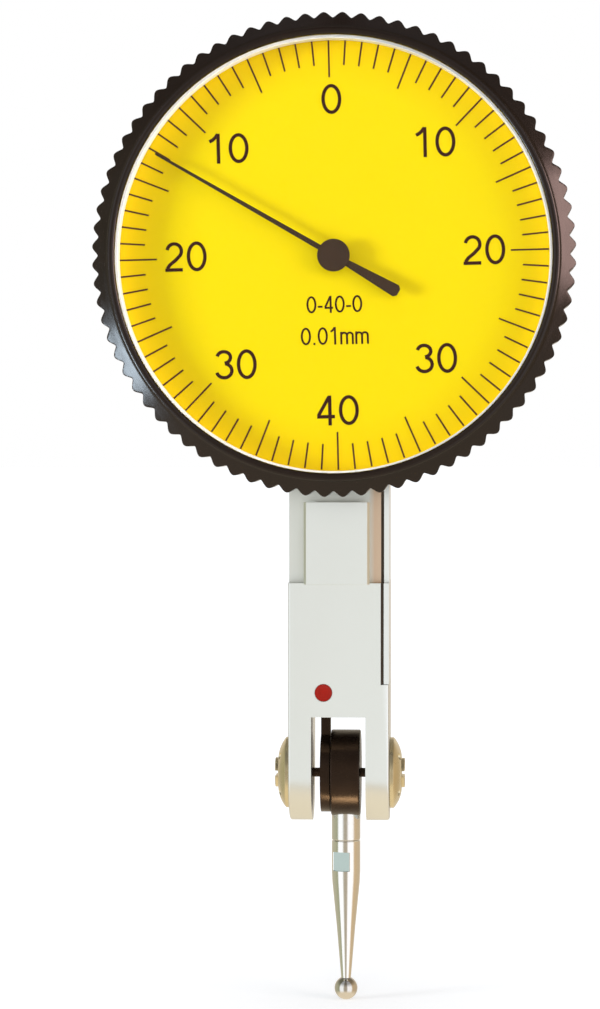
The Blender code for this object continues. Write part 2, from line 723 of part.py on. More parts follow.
def side_cover():
    """A flat plate held by four flush screws, closing the movement's room."""
    outline = cover_outline(0, SEAT_GAP)
    made = prism("side_cover", "X", (0, 0, 0), outline, COVER_LEFT, BODY_RIGHT, SATIN_CHROME)
    for across, up in COVER_SCREWS:
        countersink(made, across, up)


def cover_gasket():
    """A thin dark frame under the cover's edge."""
    outline = cover_outline(0, SEAT_GAP)
    high = COVER_LEFT - SEAT_GAP
    made = prism("cover_gasket", "X", (0, 0, 0), outline, GASKET_LEFT, high, DARK_GASKET)
    ends = (GASKET_LEFT - OVERRUN, high + OVERRUN)
    cut(made, prism("gasket_room", "X", (0, 0, 0), ROOM_OUTLINE, *ends, None))
    for across, up in COVER_SCREWS:
        shank = COVER_SCREW_SHANK + SEAT_GAP
        drill(made, "X", (0, across, up), shank, *ends, TINY_ROUND)


def cover_screw(number, across, up):
    profile = [
        (0, SCREW_TIP),
        (COVER_SCREW_SHANK, SCREW_TIP),
        (COVER_SCREW_SHANK, COVER_LEFT + SEAT_GAP * 2),
        (COVER_SCREW_HEAD, BODY_RIGHT),
        (0, BODY_RIGHT),
    ]
    name = f"cover_screw_{number}"
    made = turned(name, "X", (0, across, up), profile, TINY_ROUND, BRIGHT_STEEL)
    half = COVER_SCREW_SLOT / 2
    low = (BODY_RIGHT - COVER_SCREW_SLOT, across - COVER_SCREW_HEAD, up - half)
    high = (BODY_RIGHT + OVERRUN, across + COVER_SCREW_HEAD, up + half)
    cut(made, block(f"{name}_slot", low, high, None))


side_cover()
cover_gasket()
for number, (across, up) in enumerate(COVER_SCREWS, 1):
    cover_screw(number, across, up)

# Dial case, screwed to the boss, with the snap ring that keeps the bezel on it


def dial_case():
    """A shallow cup. Its wall has the groove of the snap ring, and its floor the front jewel."""
    groove = CASE_RADIUS - SNAP_CASE_BITE - SEAT_GAP
    groove_half = SNAP_WIRE_RADIUS + RUN_GAP
    seat = JEWEL_RADIUS + SEAT_GAP
    seat_floor = CASE_INSIDE + JEWEL_THICKNESS + SEAT_GAP
    hole_sides = SEAT_SIDES // 4
    rows = [
        ring_row(CENTRE_ARBOR * 2, CASE_BACK, hole_sides),
        ring_row(CASE_RADIUS - CASE_CHAMFER, CASE_BACK, SEAT_SIDES),
        ring_row(CASE_RADIUS, CASE_BACK - CASE_CHAMFER, SEAT_SIDES),
        ring_row(CASE_RADIUS, SNAP_Y + groove_half, SEAT_SIDES),
        ring_row(groove, SNAP_Y + groove_half, SEAT_SIDES),
        ring_row(groove, SNAP_Y - groove_half, SEAT_SIDES),
        ring_row(CASE_RADIUS, SNAP_Y - groove_half, SEAT_SIDES),
        ring_row(CASE_RADIUS, CASE_RIM, SEAT_SIDES),
        ring_row(CASE_RADIUS - CASE_WALL, CASE_RIM, SEAT_SIDES),
        ring_row(CASE_RADIUS - CASE_WALL, CASE_INSIDE, SEAT_SIDES),
        ring_row(seat, CASE_INSIDE, hole_sides),
        ring_row(seat, seat_floor, hole_sides),
        ring_row(CENTRE_ARBOR * 2, seat_floor, hole_sides),
    ]
    made = skin("dial_case", "Y", (0, 0, DIAL_HEIGHT), rows, SATIN_CHROME, ring=True)
    for across, up in CASE_SCREWS:
        shank = CASE_SCREW_SHANK + SEAT_GAP
        ends = (CASE_INSIDE - OVERRUN, CASE_BACK + OVERRUN)
        drill(made, "Y", (across, 0, up), shank, *ends, TINY_ROUND)


def headed_screw(name, axis, location, face, tip, head, head_height, shank, material):
    """A cheese head screw whose head rests on a face and whose shank runs to its tip."""
    forward = 1 if tip > face else -1
    under = face - forward * SEAT_GAP
    top = under - forward * head_height
    profile = [(0, top), (head, top), (head, under), (shank, under), (shank, tip), (0, tip)]
    made = turned(name, axis, location, profile, TINY_ROUND, material)
    half = head * SCREW_SLOT_SHARE / 2
    slot_floor = top + forward * head_height / 2
    ends = sorted((top - forward * OVERRUN, slot_floor))
    outline = [(-head * 2, -half), (head * 2, -half), (head * 2, half), (-head * 2, half)]
    cut(made, prism(f"{name}_slot", axis, location, outline, *ends, None))


def bezel_snap_ring():
    """An open ring of round wire, half in the case's groove and half in the bezel's."""
    opening = math.radians(SNAP_OPENING_DEG)
    steps = 42
    wire_sides = 5
    rows = []
    for step in range(steps + 1):
        turn = opening / 2 + (2 * math.pi - opening) * step / steps - math.pi / 2
        row = []
        for side in range(wire_sides):
            round_turn = 2 * math.pi * side / wire_sides
            radius = SNAP_RADIUS + SNAP_WIRE_RADIUS * math.cos(round_turn)
            along = SNAP_Y + SNAP_WIRE_RADIUS * math.sin(round_turn)
            row.append((radius * math.cos(turn), radius * math.sin(turn), along))
        rows.append(row)
    skin("bezel_snap_ring", "Y", (0, 0, DIAL_HEIGHT), rows, BRIGHT_STEEL)


dial_case()
for number, (across, up) in enumerate(CASE_SCREWS, 1):
    headed_screw(
        f"case_screw_{number}",
        "Y",
        (across, 0, up),
        CASE_INSIDE,
        CASE_SCREW_TIP,
        CASE_SCREW_HEAD,
        CASE_SCREW_HEAD_HEIGHT,
        CASE_SCREW_SHANK,
        BRIGHT_STEEL,
    )
bezel_snap_ring()

# Bezel with the glass, the pale ring, the dial and the ring behind it, which turn together


def knurl_row(tip, valley, along):
    """Rounded teeth: a valley point, then three points over the crest."""
    points = []
    pitch = 2 * math.pi / BEZEL_TEETH
    for tooth in range(BEZEL_TEETH):
        middle = math.radians(BEZEL_PHASE_DEG) + pitch * tooth
        shoulder = valley + (tip - valley) * KNURL_SHOULDER_SHARE
        side = KNURL_SIDE_SHARE
        for radius, place in ((valley, -1 / 2), (shoulder, -side), (tip, 0), (shoulder, side)):
            turn = middle + place * pitch
            points.append((radius * math.cos(turn), radius * math.sin(turn), along))
    return points


def bezel():
    """A turned ring, knurled outside, with a raised lip over the glass and a skirt round the case."""
    start = math.radians(BEZEL_PHASE_DEG) - math.pi / BEZEL_TEETH
    groove = SNAP_RADIUS + SNAP_WIRE_RADIUS + BEZEL_GAP
    groove_half = SNAP_WIRE_RADIUS + RUN_GAP
    lip_width = SEAT_RADIUS - BEZEL_LIP_RADIUS

    def plain(radius, along, sides=SEAT_SIDES):
        return ring_row(radius, along, sides, start)

    rows = [
        plain(BEZEL_LIP_RADIUS, LIP_BACK, BEZEL_SIDES),
        plain(BEZEL_LIP_RADIUS, BEZEL_FRONT + BEZEL_LIP / 3, BEZEL_SIDES),
        plain(BEZEL_LIP_RADIUS + lip_width / 2, BEZEL_FRONT, BEZEL_SIDES),
        plain(SEAT_RADIUS + lip_width / 4, BEZEL_FRONT + BEZEL_LIP / 4, BEZEL_SIDES),
        plain(SEAT_RADIUS + lip_width * LIP_OUTSIDE_SHARE, BEZEL_FRONT + BEZEL_LIP, BEZEL_SIDES),
        knurl_row(BEZEL_TIP - BEZEL_TOOTH / 2, BEZEL_VALLEY - BEZEL_TOOTH / 4, BEZEL_FRONT + BEZEL_LIP * 2),
        knurl_row(BEZEL_TIP, BEZEL_VALLEY, BEZEL_FRONT + BEZEL_LIP * 3),
        knurl_row(BEZEL_TIP, BEZEL_VALLEY, BEZEL_BACK),
        plain(BEZEL_BORE, BEZEL_BACK),
        plain(BEZEL_BORE, SNAP_Y + groove_half),
        plain(groove, SNAP_Y + groove_half),
        plain(groove, SNAP_Y - groove_half),
        plain(BEZEL_BORE, SNAP_Y - groove_half),
        plain(BEZEL_BORE, RING_BACK),
        plain(SEAT_RADIUS, RING_BACK),
        plain(SEAT_RADIUS, LIP_BACK),
    ]
    carry(skin("bezel", "Y", (0, 0, DIAL_HEIGHT), rows, BLACK_ANODISED, ring=True), BEZEL_AXLE)


def seated_disc(name, front, back, material, hole=0):
    """A disc or ring that fits the bezel's seat."""
    start = math.radians(BEZEL_PHASE_DEG) - math.pi / BEZEL_TEETH
    hole_row = BEZEL_SIDES if hole > GLASS_RADIUS / 2 else SEAT_SIDES // 4
    rows = [ring_row(GLASS_RADIUS, back, SEAT_SIDES, start), ring_row(GLASS_RADIUS, front, SEAT_SIDES, start)]
    if hole:
        rows += [ring_row(hole, front, hole_row, start), ring_row(hole, back, hole_row, start)]
    made = skin(name, "Y", (0, 0, DIAL_HEIGHT), rows, material, ring=bool(hole))
    carry(made, BEZEL_AXLE)


bezel()
seated_disc("crystal", CRYSTAL_FRONT, CRYSTAL_BACK, CLEAR_GLASS)
seated_disc("dial_ring", DIAL_RING_FRONT, DIAL_FACE - SEAT_GAP, PALE_RING, DIAL_RING_INNER)
seated_disc("dial_face", DIAL_FACE, DIAL_BACK, DIAL_YELLOW, CENTRE_ARBOR * 2)
seated_disc("dial_retaining_ring", DIAL_BACK + SEAT_GAP, RING_BACK, DARK_STEEL, RETAINING_INNER)

# Pointer, its hub, the centre pinion and the collet of its hairspring


def pointer():
    """A flat needle with an eye round the hub and a widening tail."""
    root = POINTER_EYE * EYE_ROOT_SHARE
    side = POINTER_EYE * EYE_SIDE_SHARE
    up = POINTER_EYE * EYE_UP_SHARE
    corner = TAIL_END_WIDTH / 2 - TAIL_CHAMFER
    right = [
        (POINTER_TIP_WIDTH / 2, POINTER_LENGTH),
        (POINTER_ROOT_WIDTH / 2, root),
        (side, up),
        (POINTER_EYE, 0),
        (side, -up),
        (TAIL_ROOT_WIDTH / 2, -root),
        (TAIL_END_WIDTH / 2, -POINTER_TAIL + TAIL_CHAMFER),
        (corner, -POINTER_TAIL),
    ]
    left = [(-across, up) for across, up in reversed(right)]
    back = POINTER_FRONT + POINTER_THICKNESS
    outline = [*right, *left]
    made = prism("pointer", "Y", (0, 0, DIAL_HEIGHT), outline, POINTER_FRONT, back, POINTER_BLACK)
    eye = POINTER_HUB_NECK + SEAT_GAP
    tool = [(eye, POINTER_FRONT - OVERRUN), (eye, back + OVERRUN)]
    hole = turned("pointer_eye_cutter", "Y", (0, 0, DIAL_HEIGHT), tool, SMALL_ROUND, None)
    cut(made, hole)
    made.rotation_euler = (0, -math.radians(POINTER_REST_DEG), 0)
    carry(made, POINTER_AXLE)


def pointer_hub():
    """A disc over the needle with a neck through its eye, bored for the arbor."""
    bore = CENTRE_ARBOR + SEAT_GAP
    disc_back = HUB_FRONT + POINTER_HUB_DISC
    profile = [
        (bore, HUB_FRONT),
        (POINTER_HUB, HUB_FRONT),
        (POINTER_HUB, disc_back),
        (POINTER_HUB_NECK, disc_back),
        (POINTER_HUB_NECK, HUB_BACK),
        (bore, HUB_BACK),
    ]
    made = turned("pointer_hub", "Y", (0, 0, DIAL_HEIGHT), profile, SMALL_ROUND, POINTER_BLACK, ring=True)
    carry(made, POINTER_AXLE)


def centre_pinion():
    """The arbor under the pointer, with twelve leaves inside the casting and a fine rear pivot."""
    tip = CENTRE_PITCH + GEAR_ADDENDUM
    root = CENTRE_PITCH - GEAR_DEDENDUM
    phase = math.pi + math.pi / PINION_LEAVES
    leaf = toothed(PINION_LEAVES, tip, root, phase)
    rows = [
        ring_row(CENTRE_ARBOR, HUB_FRONT + SEAT_GAP, PINION_LEAVES, phase),
        ring_row(CENTRE_ARBOR, LEAF_FRONT, PINION_LEAVES, phase),
        outline_row(leaf, LEAF_FRONT),
        outline_row(leaf, LEAF_BACK),
        ring_row(CENTRE_PIVOT, LEAF_BACK, PINION_LEAVES, phase),
        ring_row(CENTRE_PIVOT, COCK_BACK - SEAT_GAP, PINION_LEAVES, phase),
    ]
    carry(skin("centre_pinion", "Y", (0, 0, DIAL_HEIGHT), rows, BRIGHT_STEEL), POINTER_AXLE)


def hairspring_collet():
    bore = CENTRE_ARBOR + SEAT_GAP
    low = SPRING_Y - COLLET_HEIGHT / 2
    high = SPRING_Y + COLLET_HEIGHT / 2
    profile = [(bore, low), (COLLET_RADIUS, low), (COLLET_RADIUS, high), (bore, high)]
    made = turned("hairspring_collet", "Y", (0, 0, DIAL_HEIGHT), profile, TINY_ROUND, BRASS, ring=True)
    carry(made, POINTER_AXLE)


def hairspring():
    """A flat spiral strip from beside the collet to the stud."""
    steps = SPRING_TURNS * TINY_ROUND
    rows = []
    for step in range(steps + 1):
        turn = 2 * math.pi * step / TINY_ROUND
        radius = SPRING_INNER + (SPRING_OUTER - SPRING_INNER) * step / steps
        low = SPRING_Y - SPRING_HEIGHT / 2
        high = SPRING_Y + SPRING_HEIGHT / 2
        corners = ((radius, low), (radius + SPRING_STRIP, low), (radius + SPRING_STRIP, high), (radius, high))
        rows.append([(reach * math.cos(turn), reach * math.sin(turn), along) for reach, along in corners])
    skin("hairspring", "Y", (0, 0, DIAL_HEIGHT), rows, BRIGHT_STEEL)


def hairspring_stud():
    """The post on the case's floor that holds the spring's outer end."""
    across = SPRING_OUTER + SPRING_STRIP + SEAT_GAP + STUD_RADIUS
    profile = [
        (0, CASE_INSIDE - SEAT_GAP),
        (STUD_RADIUS, CASE_INSIDE - SEAT_GAP),
        (STUD_RADIUS, SPRING_Y - SPRING_HEIGHT),
        (0, SPRING_Y - SPRING_HEIGHT),
    ]
    turned("hairspring_stud", "Y", (across, 0, DIAL_HEIGHT), profile, TINY_ROUND, BRASS)


pointer()
pointer_hub()
centre_pinion()
hairspring_collet()
hairspring()
hairspring_stud()

# Lever, stylus hub, stylus and ball, on the pivots in the fork


def drive_lever():
    """A plate with a round root on the pivot and a long arm up to the sector."""
    top = PIN_Z + PIN_END_MARGIN
    start = math.degrees(math.acos(LEVER_ARM_HALF / LEVER_DISC))
    root = arc((0, 0), LEVER_DISC, 180 - start, 360 + start, HUB_ROUND)
    outline = [*root, (LEVER_ARM_HALF, top - PIVOT_Z), (-LEVER_ARM_HALF, top - PIVOT_Z)]
    made = prism("drive_lever", "X", (0, AXIS_Y, PIVOT_Z), outline, LEVER_LEFT, LEVER_RIGHT, DARK_STEEL)
    bore = LEVER_ARBOR + SEAT_GAP
    drill(made, "X", (0, AXIS_Y, PIVOT_Z), bore, LEVER_LEFT - OVERRUN, LEVER_RIGHT + OVERRUN)
    seat = DRIVE_PIN + SEAT_GAP
    depth = LEVER_RIGHT - PIN_SEAT_DEPTH - SEAT_GAP
    drill(made, "X", (0, AXIS_Y, PIN_Z), seat, depth, LEVER_RIGHT + OVERRUN, TINY_ROUND)
    carry(made, LEVER_AXLE)


def lever_arbor():
    left = FORK_LEFT - PIVOT_ARBOR_ENTRY
    right = FORK_RIGHT + PIVOT_ARBOR_ENTRY
    profile = [(LEVER_ARBOR, left), (LEVER_ARBOR, right)]
    made = turned("lever_arbor", "X", (0, AXIS_Y, PIVOT_Z), profile, SMALL_ROUND, BRIGHT_STEEL)
    carry(made, LEVER_AXLE)


def drive_pin():
    """The ruby pin that pushes the sector."""
    left = LEVER_RIGHT - PIN_SEAT_DEPTH
    right = SECTOR_LEFT + SECTOR_THICKNESS + RUN_GAP * 2
    profile = [(DRIVE_PIN, left), (DRIVE_PIN, right)]
    made = turned("drive_pin", "X", (0, AXIS_Y, PIN_Z), profile, TINY_ROUND, RUBY)
    carry(made, LEVER_AXLE)


def stylus_hub():
    """The drum beside the lever and the neck that the stylus screws to, with a recess for the washer."""
    drum = [(HUB_RADIUS, HUB_LEFT), (HUB_RADIUS, HUB_RIGHT)]
    pivot = (0, AXIS_Y, PIVOT_Z)
    made = turned("stylus_hub", "X", pivot, drum, HUB_ROUND, DARK_STEEL)
    neck = [(NECK_RADIUS, -HUB_RADIUS / 2), (NECK_RADIUS, -NECK_REACH)]
    centre = (STYLUS_X, AXIS_Y, PIVOT_Z)
    join(made, turned("stylus_neck", "Z", centre, neck, SMALL_ROUND, None))
    bore = LEVER_ARBOR + RUN_GAP
    drill(made, "X", pivot, bore, HUB_LEFT - OVERRUN, HUB_RIGHT + OVERRUN)
    recess = WASHER_RADIUS + RUN_GAP
    drill(made, "X", pivot, recess, HUB_LEFT - OVERRUN, HUB_LEFT + WASHER_RECESS)
    carry(made, STYLUS_AXLE)


def clutch_washer():
    """A dished washer that holds the stylus where it is set."""
    low = HUB_LEFT + WASHER_RECESS - RUN_GAP
    profile = [
        (WASHER_BORE, low - WASHER_DISH),
        (WASHER_RADIUS, low),
        (WASHER_RADIUS, low - WASHER_THICKNESS),
        (WASHER_BORE, low - WASHER_DISH - WASHER_THICKNESS),
    ]
    pivot = (0, AXIS_Y, PIVOT_Z)
    made = turned("clutch_washer", "X", pivot, profile, SMALL_ROUND, BRIGHT_STEEL, ring=True)
    carry(made, STYLUS_AXLE)


def stylus():
    """A hard steel shank, parallel at the top with two wrench flats, then slimming to the ball."""
    end = BALL_REACH - math.sqrt(BALL_RADIUS**2 - STYLUS_END_RADIUS**2) - SEAT_GAP
    parallel_end = NECK_REACH + STYLUS_PARALLEL
    profile = [
        (NECK_RADIUS, -NECK_REACH - SEAT_GAP),
        (NECK_RADIUS, -parallel_end),
        (STYLUS_WAIST_RADIUS, -STYLUS_WAIST_REACH),
        (STYLUS_MIDDLE_RADIUS, -STYLUS_MIDDLE_REACH),
        (STYLUS_END_RADIUS, -end),
    ]
    centre = (STYLUS_X, AXIS_Y, PIVOT_Z)
    made = turned("stylus", "Z", centre, profile, SMALL_ROUND, BRIGHT_STEEL)
    top = -NECK_REACH - FLAT_BELOW_JOINT
    for side, turn in (("front", 0), ("rear", math.pi)):
        outline = [
            (-NECK_RADIUS, -FLAT_DISTANCE),
            (NECK_RADIUS, -FLAT_DISTANCE),
            (NECK_RADIUS, -FLAT_DISTANCE - OVERRUN),
            (-NECK_RADIUS, -FLAT_DISTANCE - OVERRUN),
        ]
        tool = prism(f"flat_{side}", "Z", centre, outline, top - FLAT_LENGTH, top, None)
        tool.rotation_euler = (0, 0, math.radians(FLAT_TURN_DEG) + turn)
        cut(made, tool)
    carry(made, STYLUS_AXLE)


def ball():
    """The contact ball, flat where it meets the stylus."""
    first = math.asin(STYLUS_END_RADIUS / BALL_RADIUS)
    steps = 10
    turns = [first + (math.pi - first) * step / steps for step in range(steps)]
    profile = [(BALL_RADIUS * math.sin(turn), BALL_RADIUS * math.cos(turn)) for turn in turns]
    profile.append((0, -BALL_RADIUS))
    made = turned("ball", "Z", (STYLUS_X, AXIS_Y, BALL_Z), profile, SMALL_ROUND, BRIGHT_STEEL)
    carry(made, STYLUS_AXLE)


drive_lever()
lever_arbor()
drive_pin()
stylus_hub()
clutch_washer()
stylus()
ball()


def pivot_screw(name, sign, arm_face, inner_face):
    """A slotted screw through the arm, with a cup that the lever's arbor runs in."""
    outer = arm_face + sign * PIVOT_SCREW_PROUD
    inner = inner_face + sign * PIVOT_SCREW_INSIDE
    edge = SEAT_GAP * 3
    cup = LEVER_ARBOR + RUN_GAP
    cup_floor = inner_face + sign * PIVOT_CUP_DEPTH
    profile = [
        (0, outer),
        (PIVOT_SCREW - edge, outer),
        (PIVOT_SCREW, outer - sign * edge),
        (PIVOT_SCREW, inner),
        (cup, inner),
        (cup, cup_floor),
        (0, cup_floor),
    ]
    pivot = (0, AXIS_Y, PIVOT_Z)
    made = turned(name, "X", pivot, profile, SMALL_ROUND, PALE_GOLD)
    ends = sorted((outer - sign * PIVOT_SLOT_DEPTH, outer + sign * OVERRUN))
    half = PIVOT_SLOT_WIDTH / 2
    reach = PIVOT_SCREW + OVERRUN
    outline = [(-reach, -half), (reach, -half), (reach, half), (-reach, half)]
    cut(made, prism(f"{name}_slot", "X", pivot, outline, *ends, None))


def lock_ring(name, sign, arm_face):
    """A domed ring nut against the arm, with four notches for a pin spanner."""
    bore = PIVOT_SCREW + SEAT_GAP
    base = arm_face + sign * SEAT_GAP
    dome_steps = 3
    profile = [(bore, base), (LOCK_RING, base), (LOCK_RING, base + sign * LOCK_RING_RIM)]
    for step in range(1, dome_steps + 1):
        share = step / dome_steps
        radius = LOCK_RING + (bore + OVERRUN / 2 - LOCK_RING) * share
        rise = LOCK_RING_RIM + (LOCK_RING_HEIGHT - LOCK_RING_RIM) * math.sin(share * math.pi / 2)
        profile.append((radius, base + sign * rise))
    profile.append((bore, base + sign * LOCK_RING_HEIGHT))
    pivot = (0, AXIS_Y, PIVOT_Z)
    made = turned(name, "X", pivot, profile, SMALL_ROUND, PALE_GOLD, ring=True)
    top = base + sign * (LOCK_RING_HEIGHT + OVERRUN)
    ends = sorted((top, base + sign * (LOCK_RING_HEIGHT - SPANNER_DEPTH)))
    middle = (bore + LOCK_RING) / 2
    half = SPANNER_WIDTH / 2
    for notch in range(4):
        turn = math.pi / 4 + math.pi / 2 * notch
        place = (0, AXIS_Y + middle * math.cos(turn), PIVOT_Z + middle * math.sin(turn))
        tool = [(half, ends[0]), (half, ends[1])]
        cut(made, turned(f"{name}_notch_{notch}", "X", place, tool, NOTCH_ROUND, None))


pivot_screw("pivot_screw_left", -1, BODY_LEFT, FORK_LEFT)
pivot_screw("pivot_screw_right", 1, BODY_RIGHT, FORK_RIGHT)
lock_ring("lock_ring_left", -1, BODY_LEFT)
lock_ring("lock_ring_right", 1, BODY_RIGHT)

# Movement: sector, crown wheel, jewels, plate, pillars and cock

ARBOR_LEFT = CAVITY_LEFT - JEWEL_THICKNESS + SEAT_GAP
ARBOR_RIGHT = PLATE_LEFT + JEWEL_THICKNESS


def sector_lever():
    """A fan with nine teeth above its arbor and a slotted arm below it, round the ruby pin."""
    pitch = 2 * math.pi / SECTOR_TEETH_WHOLE
    tip = SECTOR_PITCH + GEAR_ADDENDUM
    root = SECTOR_PITCH - GEAR_DEDENDUM
    first = math.pi / 2 - pitch * (SECTOR_TEETH - 1) / 2
    teeth = toothed(SECTOR_TEETH_WHOLE, tip, root, first, SECTOR_TEETH)
    edge = first - pitch
    rim = root - SECTOR_RIM
    side = SECTOR_HUB * SECTOR_SIDE_SHARE
    right = [
        (root * math.cos(edge), root * math.sin(edge)),
        (rim * math.cos(edge), rim * math.sin(edge)),
        (SECTOR_HUB, side),
        (SECTOR_HUB, -side),
        (SECTOR_WAIST_HALF, -SECTOR_HUB * SECTOR_NECK_SHARE),
        (SECTOR_WAIST_HALF, -SECTOR_ARM + PIN_SLOT_BEFORE + SECTOR_HUB),
        (SECTOR_END_HALF, -SECTOR_ARM + PIN_SLOT_BEFORE),
        (SECTOR_END_HALF, -SECTOR_ARM - PIN_SLOT_AFTER - DRIVE_PIN),
    ]
    left = [(-across, up) for across, up in right]
    outline = [*teeth, *left, *reversed(right)]
    place = (0, AXIS_Y, SECTOR_Z)
    high = SECTOR_LEFT + SECTOR_THICKNESS
    made = prism("sector_lever", "X", place, outline, SECTOR_LEFT, high, BRASS)
    ends = (SECTOR_LEFT - OVERRUN, high + OVERRUN)
    drill(made, "X", place, SECTOR_ARBOR + SEAT_GAP, *ends, TINY_ROUND)
    half = DRIVE_PIN + PIN_SIDE_GAP
    slot = [
        (-half, -SECTOR_ARM - PIN_SLOT_AFTER),
        (half, -SECTOR_ARM - PIN_SLOT_AFTER),
        (half, -SECTOR_ARM + PIN_SLOT_BEFORE),
        (-half, -SECTOR_ARM + PIN_SLOT_BEFORE),
    ]
    cut(made, prism("sector_slot_cutter", "X", place, slot, *ends, None))
    carry(made, SECTOR_AXLE)


def sector_arbor():
    """The sector's arbor, with a collar against each side of it."""
    collar = SECTOR_ARBOR * 2
    left = SECTOR_LEFT - SEAT_GAP
    profile = [
        (SECTOR_ARBOR, ARBOR_LEFT),
        (SECTOR_ARBOR, left - collar),
        (collar, left - collar),
        (collar, left),
        (SECTOR_ARBOR, left),
        (SECTOR_ARBOR, ARBOR_RIGHT),
    ]
    made = turned("sector_arbor", "X", (0, AXIS_Y, SECTOR_Z), profile, TINY_ROUND, BRIGHT_STEEL)
    carry(made, SECTOR_AXLE)


def crown_tooth_row(radius):
    """The toothed edge of the crown wheel: its teeth stand along the axis towards the pinion."""
    row = []
    for tooth in range(CROWN_TEETH):
        for along, place in tooth_points(CROWN_TIP, CROWN_ROOT):
            turn = math.pi + 2 * math.pi * (tooth + place) / CROWN_TEETH
            row.append((radius * math.cos(turn), radius * math.sin(turn), along))
    return row


def crown_wheel():
    """A cup shaped wheel whose teeth mesh with the centre pinion at right angles."""
    phase = math.pi
    hub_sides = CROWN_TEETH // 5
    web = CROWN_RIM_BACK + CROWN_WEB
    hub_end = CROWN_RIM_BACK + CROWN_HUB_LENGTH
    bore = CENTRE_ARBOR + SEAT_GAP
    rows = [
        ring_row(CROWN_OUTER, CROWN_RIM_BACK, CROWN_TEETH, phase),
        crown_tooth_row(CROWN_OUTER),
        crown_tooth_row(CROWN_INNER),
        ring_row(CROWN_INNER, web, CROWN_TEETH, phase),
        ring_row(CROWN_HUB, web, hub_sides, phase),
        ring_row(CROWN_HUB, hub_end, hub_sides, phase),
        ring_row(bore, hub_end, hub_sides, phase),
        ring_row(bore, CROWN_RIM_BACK, hub_sides, phase),
    ]
    made = skin("crown_wheel", "X", (0, AXIS_Y, DIAL_HEIGHT), rows, BRASS, ring=True)
    carry(made, CROWN_AXLE)


def crown_arbor():
    """The crown wheel's arbor, with the twelve leaves that the sector drives."""
    tip = CROWN_PITCH + GEAR_ADDENDUM
    root = CROWN_PITCH - GEAR_DEDENDUM
    phase = -math.pi / 2 + math.pi / CROWN_PINION_LEAVES
    leaf = toothed(CROWN_PINION_LEAVES, tip, root, phase)
    leaf_left = SECTOR_LEFT - SECTOR_THICKNESS / 2
    leaf_right = SECTOR_LEFT + SECTOR_THICKNESS * 3 / 2
    sides = CROWN_PINION_LEAVES
    rows = [
        ring_row(CENTRE_ARBOR, ARBOR_LEFT, sides, phase),
        ring_row(CENTRE_ARBOR, leaf_left, sides, phase),
        outline_row(leaf, leaf_left),
        outline_row(leaf, leaf_right),
        ring_row(CENTRE_ARBOR, leaf_right, sides, phase),
        ring_row(CENTRE_ARBOR, ARBOR_RIGHT, sides, phase),
    ]
    carry(skin("crown_arbor", "X", (0, AXIS_Y, DIAL_HEIGHT), rows, BRIGHT_STEEL), CROWN_AXLE)


sector_lever()
sector_arbor()
crown_wheel()
crown_arbor()


def jewel(name, axis, location, radius, bore, low, high):
    profile = [(bore, low), (radius, low), (radius, high), (bore, high)]
    turned(name, axis, location, profile, TINY_ROUND, RUBY, ring=True)


ARBORS = {"crown": CENTRE_ARBOR, "sector": SECTOR_ARBOR}
for side, up in LEFT_JEWELS.items():
    bore = ARBORS[side] + RUN_GAP
    seat = CAVITY_LEFT - JEWEL_THICKNESS
    jewel(f"{side}_jewel_left", "X", (0, AXIS_Y, up), JEWEL_RADIUS, bore, seat, CAVITY_LEFT)
    plate_seat = PLATE_LEFT + JEWEL_THICKNESS
    jewel(f"{side}_jewel_right", "X", (0, AXIS_Y, up), JEWEL_RADIUS, bore, PLATE_LEFT, plate_seat)
DIAL_CENTRE = (0, 0, DIAL_HEIGHT)
CASE_JEWEL_BACK = CASE_INSIDE + JEWEL_THICKNESS
FRONT_BORE = CENTRE_ARBOR + RUN_GAP
jewel("centre_jewel_front", "Y", DIAL_CENTRE, JEWEL_RADIUS, FRONT_BORE, CASE_INSIDE, CASE_JEWEL_BACK)
REAR_BORE = CENTRE_PIVOT + RUN_GAP
jewel("centre_jewel_rear", "Y", DIAL_CENTRE, COCK_JEWEL, REAR_BORE, COCK_FRONT, COCK_BACK)


def movement_plate():
    """The plate that carries the right jewels, on three pillars."""
    low = (PLATE_LEFT, CAVITY_FRONT + PLATE_MARGIN, PLATE_BOTTOM)
    high = (PLATE_RIGHT, CAVITY_BACK - PLATE_MARGIN, PLATE_TOP)
    made = block("movement_plate", low, high, BRASS)
    ends = (PLATE_LEFT - OVERRUN, PLATE_RIGHT + OVERRUN)
    for up in LEFT_JEWELS.values():
        drill(made, "X", (0, AXIS_Y, up), JEWEL_RADIUS + SEAT_GAP, *ends)
    for across, up in PILLARS:
        drill(made, "X", (0, across, up), PLATE_SCREW_SHANK + SEAT_GAP, *ends, TINY_ROUND)
    drill(made, "X", COCK_SCREW_PLACE, PLATE_SCREW_SHANK + SEAT_GAP, *ends, TINY_ROUND)


COCK_MIDDLE = (COCK_FRONT + COCK_BACK) / 2
COCK_SCREW_PLACE = (0, COCK_MIDDLE, DIAL_HEIGHT + COCK_SCREW_LIFT)
COCK_RIGHT = PLATE_LEFT - SEAT_GAP


